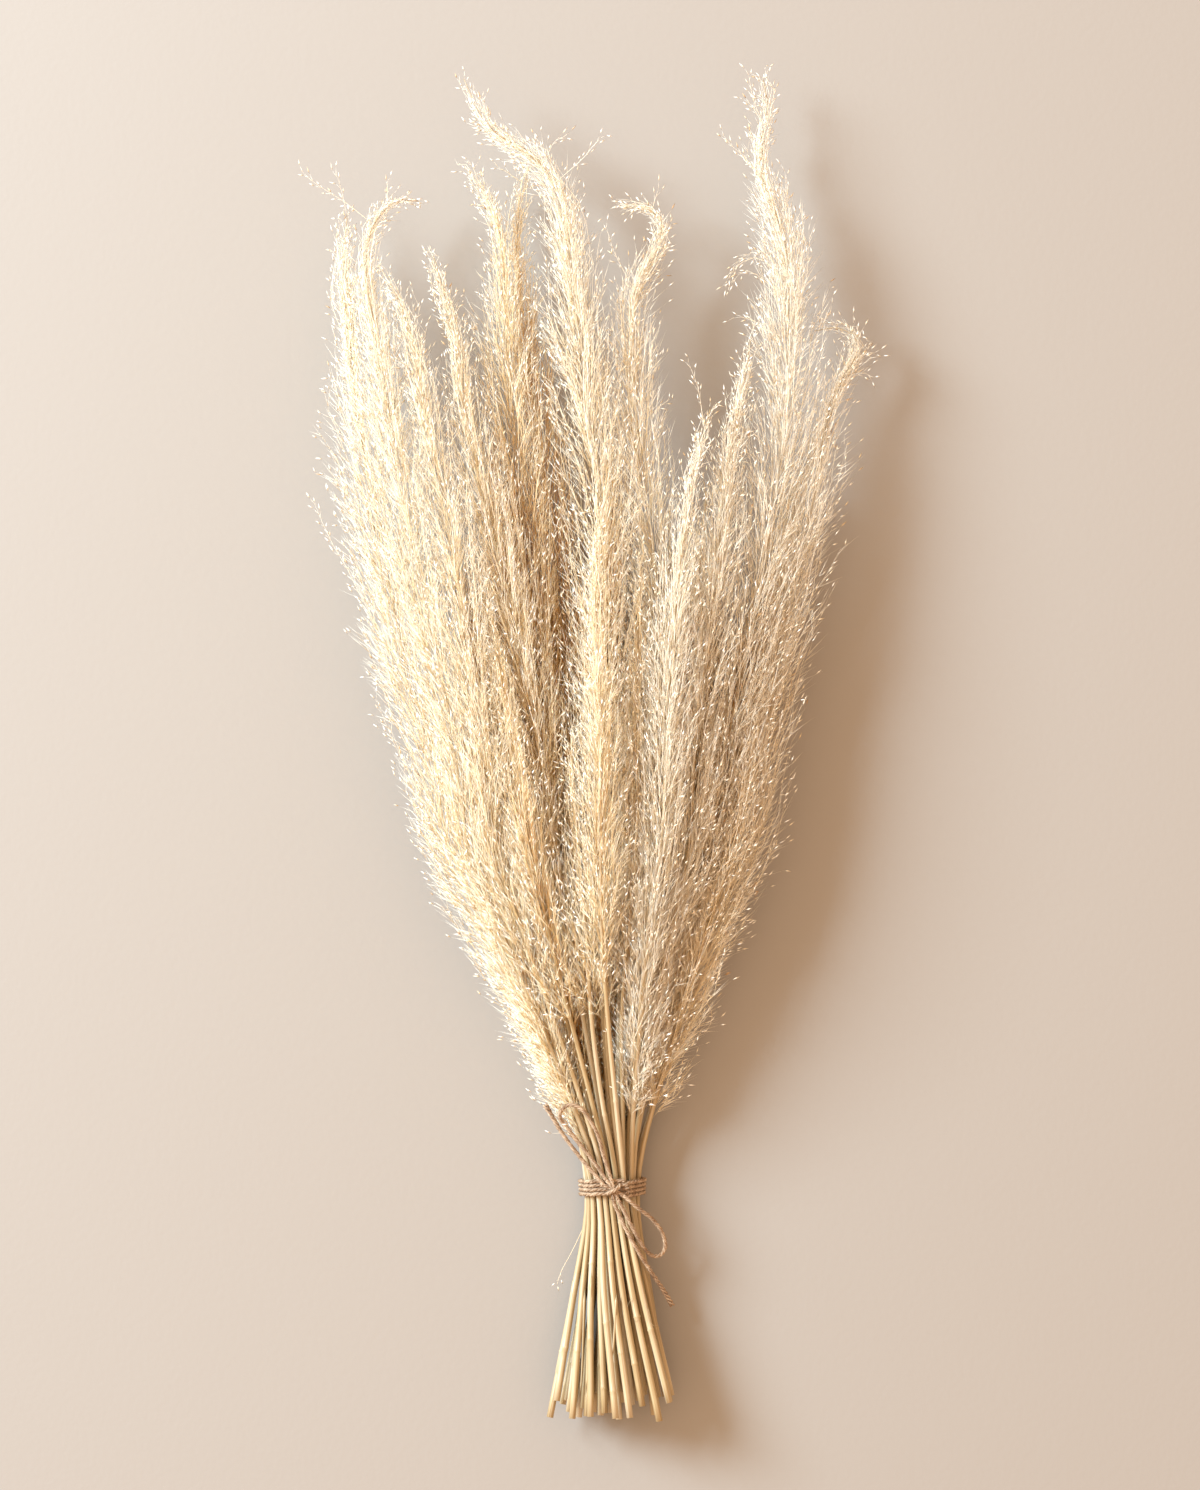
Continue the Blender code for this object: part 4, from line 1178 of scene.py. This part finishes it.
def spikelets_on(twigs, share, draw):
    """A spikelet at the tips of a share of the twigs, and which twig each one is on."""
    own = np.flatnonzero(draw.random(len(twigs)) < share)
    way = unit(twigs[own, -1] - twigs[own, 0])
    base = twigs[own, -1] - way * SPIKELET_SUNK
    count = len(own)
    heading = unit(way + draw.normal(0.0, SPIKELET_NOISE, (count, 3)))
    length = SPIKELET_LENGTH * draw.uniform(*SPIKELET_VARIETY, count)[:, None, None]
    centres = base[:, None] + heading[:, None] * length * np.array(SPIKELET_LEVELS)[None, :, None]
    radii = SPIKELET_RADIUS * draw.uniform(*SPIKELET_VARIETY, count)[:, None] * np.ones((1, 3))
    return lifted(centres), radii, own


def exposure(centres):
    """How near the bundle's upper surface each hair lies: 1 at the surface, 0 well inside."""
    middle = centres.mean(axis=1) - np.array(ORIGIN_SHIFT)
    stations = np.array(STATIONS)
    sections = np.array([section_at(along) for along in stations])
    middle_x, half_width, middle_z, half_thick, _ = [np.interp(middle[:, 1], stations, column)
                                                     for column in sections.T]
    across = np.clip((middle[:, 0] - middle_x) / half_width, -1.0, 1.0)
    top = middle_z + half_thick * np.sqrt(1 - across ** 2)
    return np.clip(1 - (top - middle[:, 2]) / EXPOSED_DEPTH, 0.0, 1.0)


def head_copies(model, centres, radii, slot, along, outer, light_and_shade, draw):
    """Copies of a hair or spikelet, toned by chance, by how far along each point is and by painted light and
    shade by place.
    """
    points = model.swept(centres, radii, draw.uniform(*HAIR_TURNS, len(centres)))
    tone = np.empty(points.shape)
    tone[..., 0] = draw.random(len(points))[:, None]
    tone[..., 1] = along[0] + (along[1] - along[0]) * model.shares[model.level]
    higher = GOLDEN_LOW * (centres[:, 0, 1] - GOLDEN_FROM)
    # Painted shade deep inside the bundle, and painted light on outer and exposed hairs
    painted_light = PAINTED_SHADE_DEEP + PAINTED_LIGHT_OUTER * outer + PAINTED_LIGHT_EXPOSED * exposure(centres)
    tone[..., 2] = (light_and_shade + painted_light + higher)[:, None]
    return model, points, slot, tone


def sprig_copies(route, rise, bare, radius, slot, models, draw):
    """A stray sprig: a fine curved stem, and spikelets on short stalks along the part that isn't bare."""
    _, twig, spikelet, sprig = models
    line = Line(smooth_route(route, SPRIG_STEP))
    share = sprig.shares
    stem = line.bent(np.zeros(share.size), share * line.length, rise * share ** 2)[None]
    stem_radii = radius * (HAIR_FOOT - HAIR_TAPER * share)[None]
    stem_copies = head_copies(sprig, lifted(stem), stem_radii, slot, ALONG_SPRIG, 1.0, SPRIG_LIGHT_AND_SHADE, draw)
    count = math.ceil(line.length * (1 - bare) / SPRIG_SPACING)
    if count == 0:
        return [stem_copies]
    along = line.length * (bare + (1 - bare) * (np.arange(count) + draw.random(count)) / count)
    side = np.where(np.arange(count) % 2, 1.0, -1.0) * draw.uniform(*SPRIG_SIDE, count)
    up = rise * (along / line.length) ** 2
    reach = draw.uniform(*SPRIG_STALK, count)
    foot = line.bent(np.zeros(count), along, up)
    end = line.bent(side * reach, along + reach, up + SPRIG_LIFT * reach * draw.normal(0.0, 1.0, count))
    stalks = np.stack((foot, end), axis=1)
    stalk_radii = np.full((count, 2), TWIG_RADIUS)
    grains, grain_radii, _ = spikelets_on(stalks, 1.0, draw)
    return [
        stem_copies,
        head_copies(twig, lifted(stalks), stalk_radii, BRANCH_SLOT, ALONG_SPRIG_STALK, 1.0,
                    SPRIG_LIGHT_AND_SHADE, draw),
        head_copies(spikelet, grains, grain_radii, SPIKELET_SLOT, ALONG_SPIKELET, 1.0, SPRIG_LIGHT_AND_SHADE, draw),
    ]


def bearer_of(foot, lines, on_top):
    """Which culm passes nearest to a foot seen from above, or the highest that passes close, and where."""
    places = []
    scores = []
    for line in lines:
        gaps = np.linalg.norm(line.places[:, :2] - foot, axis=1)
        spot = int(np.argmin(gaps))
        places.append(line.places[spot])
        is_close = on_top and gaps[spot] < ON_STEMS_REACH
        scores.append(-line.places[spot][2] if is_close else gaps[spot])
    best = int(np.argmin(scores))
    return best, places[best]


def share_sprigs(culms, lines):
    """Give each stray sprig, curled hair and dry blade to a culm that passes its foot, and start it there."""
    given = {culm.name: [] for culm in culms}
    shift = np.array(ORIGIN_SHIFT)
    for rise, bare, points in STRAY_SPRIGS:
        number, start = bearer_of(np.array(points[0]) + shift[:2], lines, on_top=False)
        route = [Vector(start)]
        route += [Vector((x, y, start[2])) + ORIGIN_SHIFT for x, y in points[1:]]
        given[culms[number].name].append((route, rise, bare, SPRIG_RADIUS, BRANCH_SLOT))
    for radius, rise, points in ON_STEMS:
        number, start = bearer_of(np.array(points[0]) + shift[:2], lines, on_top=True)
        route = [Vector((x, y, start[2] + ON_STEMS_LIFT)) + ORIGIN_SHIFT for x, y in points]
        given[culms[number].name].append((route, rise, 1.0, radius, STALK_SLOT))
    return given


def bundle_line(culm, place):
    """The culm's smooth middle line in the frame, and the room round it along that line."""
    points, room = culm_line(culm, place)
    points = [point + ORIGIN_SHIFT for point in points]
    return Line(smooth_route(points, LINE_STEP)), (line_lengths(points), room)


def dress_culm(culm, line, rooms, sprigs, models, materials, draw):
    """One culm in place of its CAD node: the stalk, and the head's branches, twigs and spikelets."""
    name = "grass_%02d" % culm.number
    stalk = model_stalk(name, line.length, random.Random(SEED + culm.number))
    bend_stalk(stalk, line, culm.butt, culm.turn)
    branch, twig, spikelet, _ = models
    centres, radii, outward, slim, lean = head_branches(culm, line, rooms, branch, draw)
    twigs, twig_radii, own = head_twigs(centres, outward, slim, draw)
    grains, grain_radii, bearer = spikelets_on(twigs, SPIKELET_SHARE / slim[own], draw)
    # Painted light: leading heads and heads further right are paler; inner heads are darker as painted shade
    light_and_shade = LEADING_PAINTED_LIGHT if culm.crook else INNER_PAINTED_SHADE
    light_and_shade += PAINTED_LIGHT_RIGHT * (line.places[-1][0] + PAINTED_LIGHT_FROM)
    groups = [
        head_copies(branch, centres, radii, BRANCH_SLOT, ALONG_BRANCH, lean, light_and_shade, draw),
        head_copies(twig, twigs, twig_radii, BRANCH_SLOT, ALONG_TWIG, lean[own], light_and_shade, draw),
        head_copies(spikelet, grains, grain_radii, SPIKELET_SLOT, ALONG_SPIKELET, lean[own[bearer]],
                    light_and_shade, draw),
    ]
    for sprig in sprigs:
        groups += sprig_copies(*sprig, models, draw)
    mesh = copies_mesh(name + "_head", groups)
    for data in (mesh, stalk.data):
        for material in materials:
            data.materials.append(material)
    whole = joined([stalk, link_new(name + "_head", mesh)], name)
    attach(whole, "root")
    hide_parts(culm.name)


def main():
    """Build the bundle and its twine, then lay the floor and light it."""
    place_camera()
    culms = make_culms()
    places = settle(culms)
    draw = np.random.default_rng(SEED)
    fibre = Hair("fibre", 3)
    branch = Hair("branch", BRANCH_LEVELS)
    twig = Hair("twig", 1)
    spikelet = Hair("spikelet", 2)
    jute = jute_material()
    for name in CORD_ROUTES:
        tie_cord(name, jute, fibre, draw)
    tie_twine(places, jute, fibre, draw)
    materials = (straw_material(), branch_material(), spikelet_material())
    models = (branch, twig, spikelet, Hair("sprig", SPRIG_LEVELS))
    bundle_lines = [bundle_line(culm, place) for culm, place in zip(culms, places)]
    sprigs = share_sprigs(culms, [line for line, _ in bundle_lines])
    for culm, (line, rooms) in zip(culms, bundle_lines):
        dress_culm(culm, line, rooms, sprigs[culm.name], models, materials, draw)
    lay_floor()
    light_scene()


main()
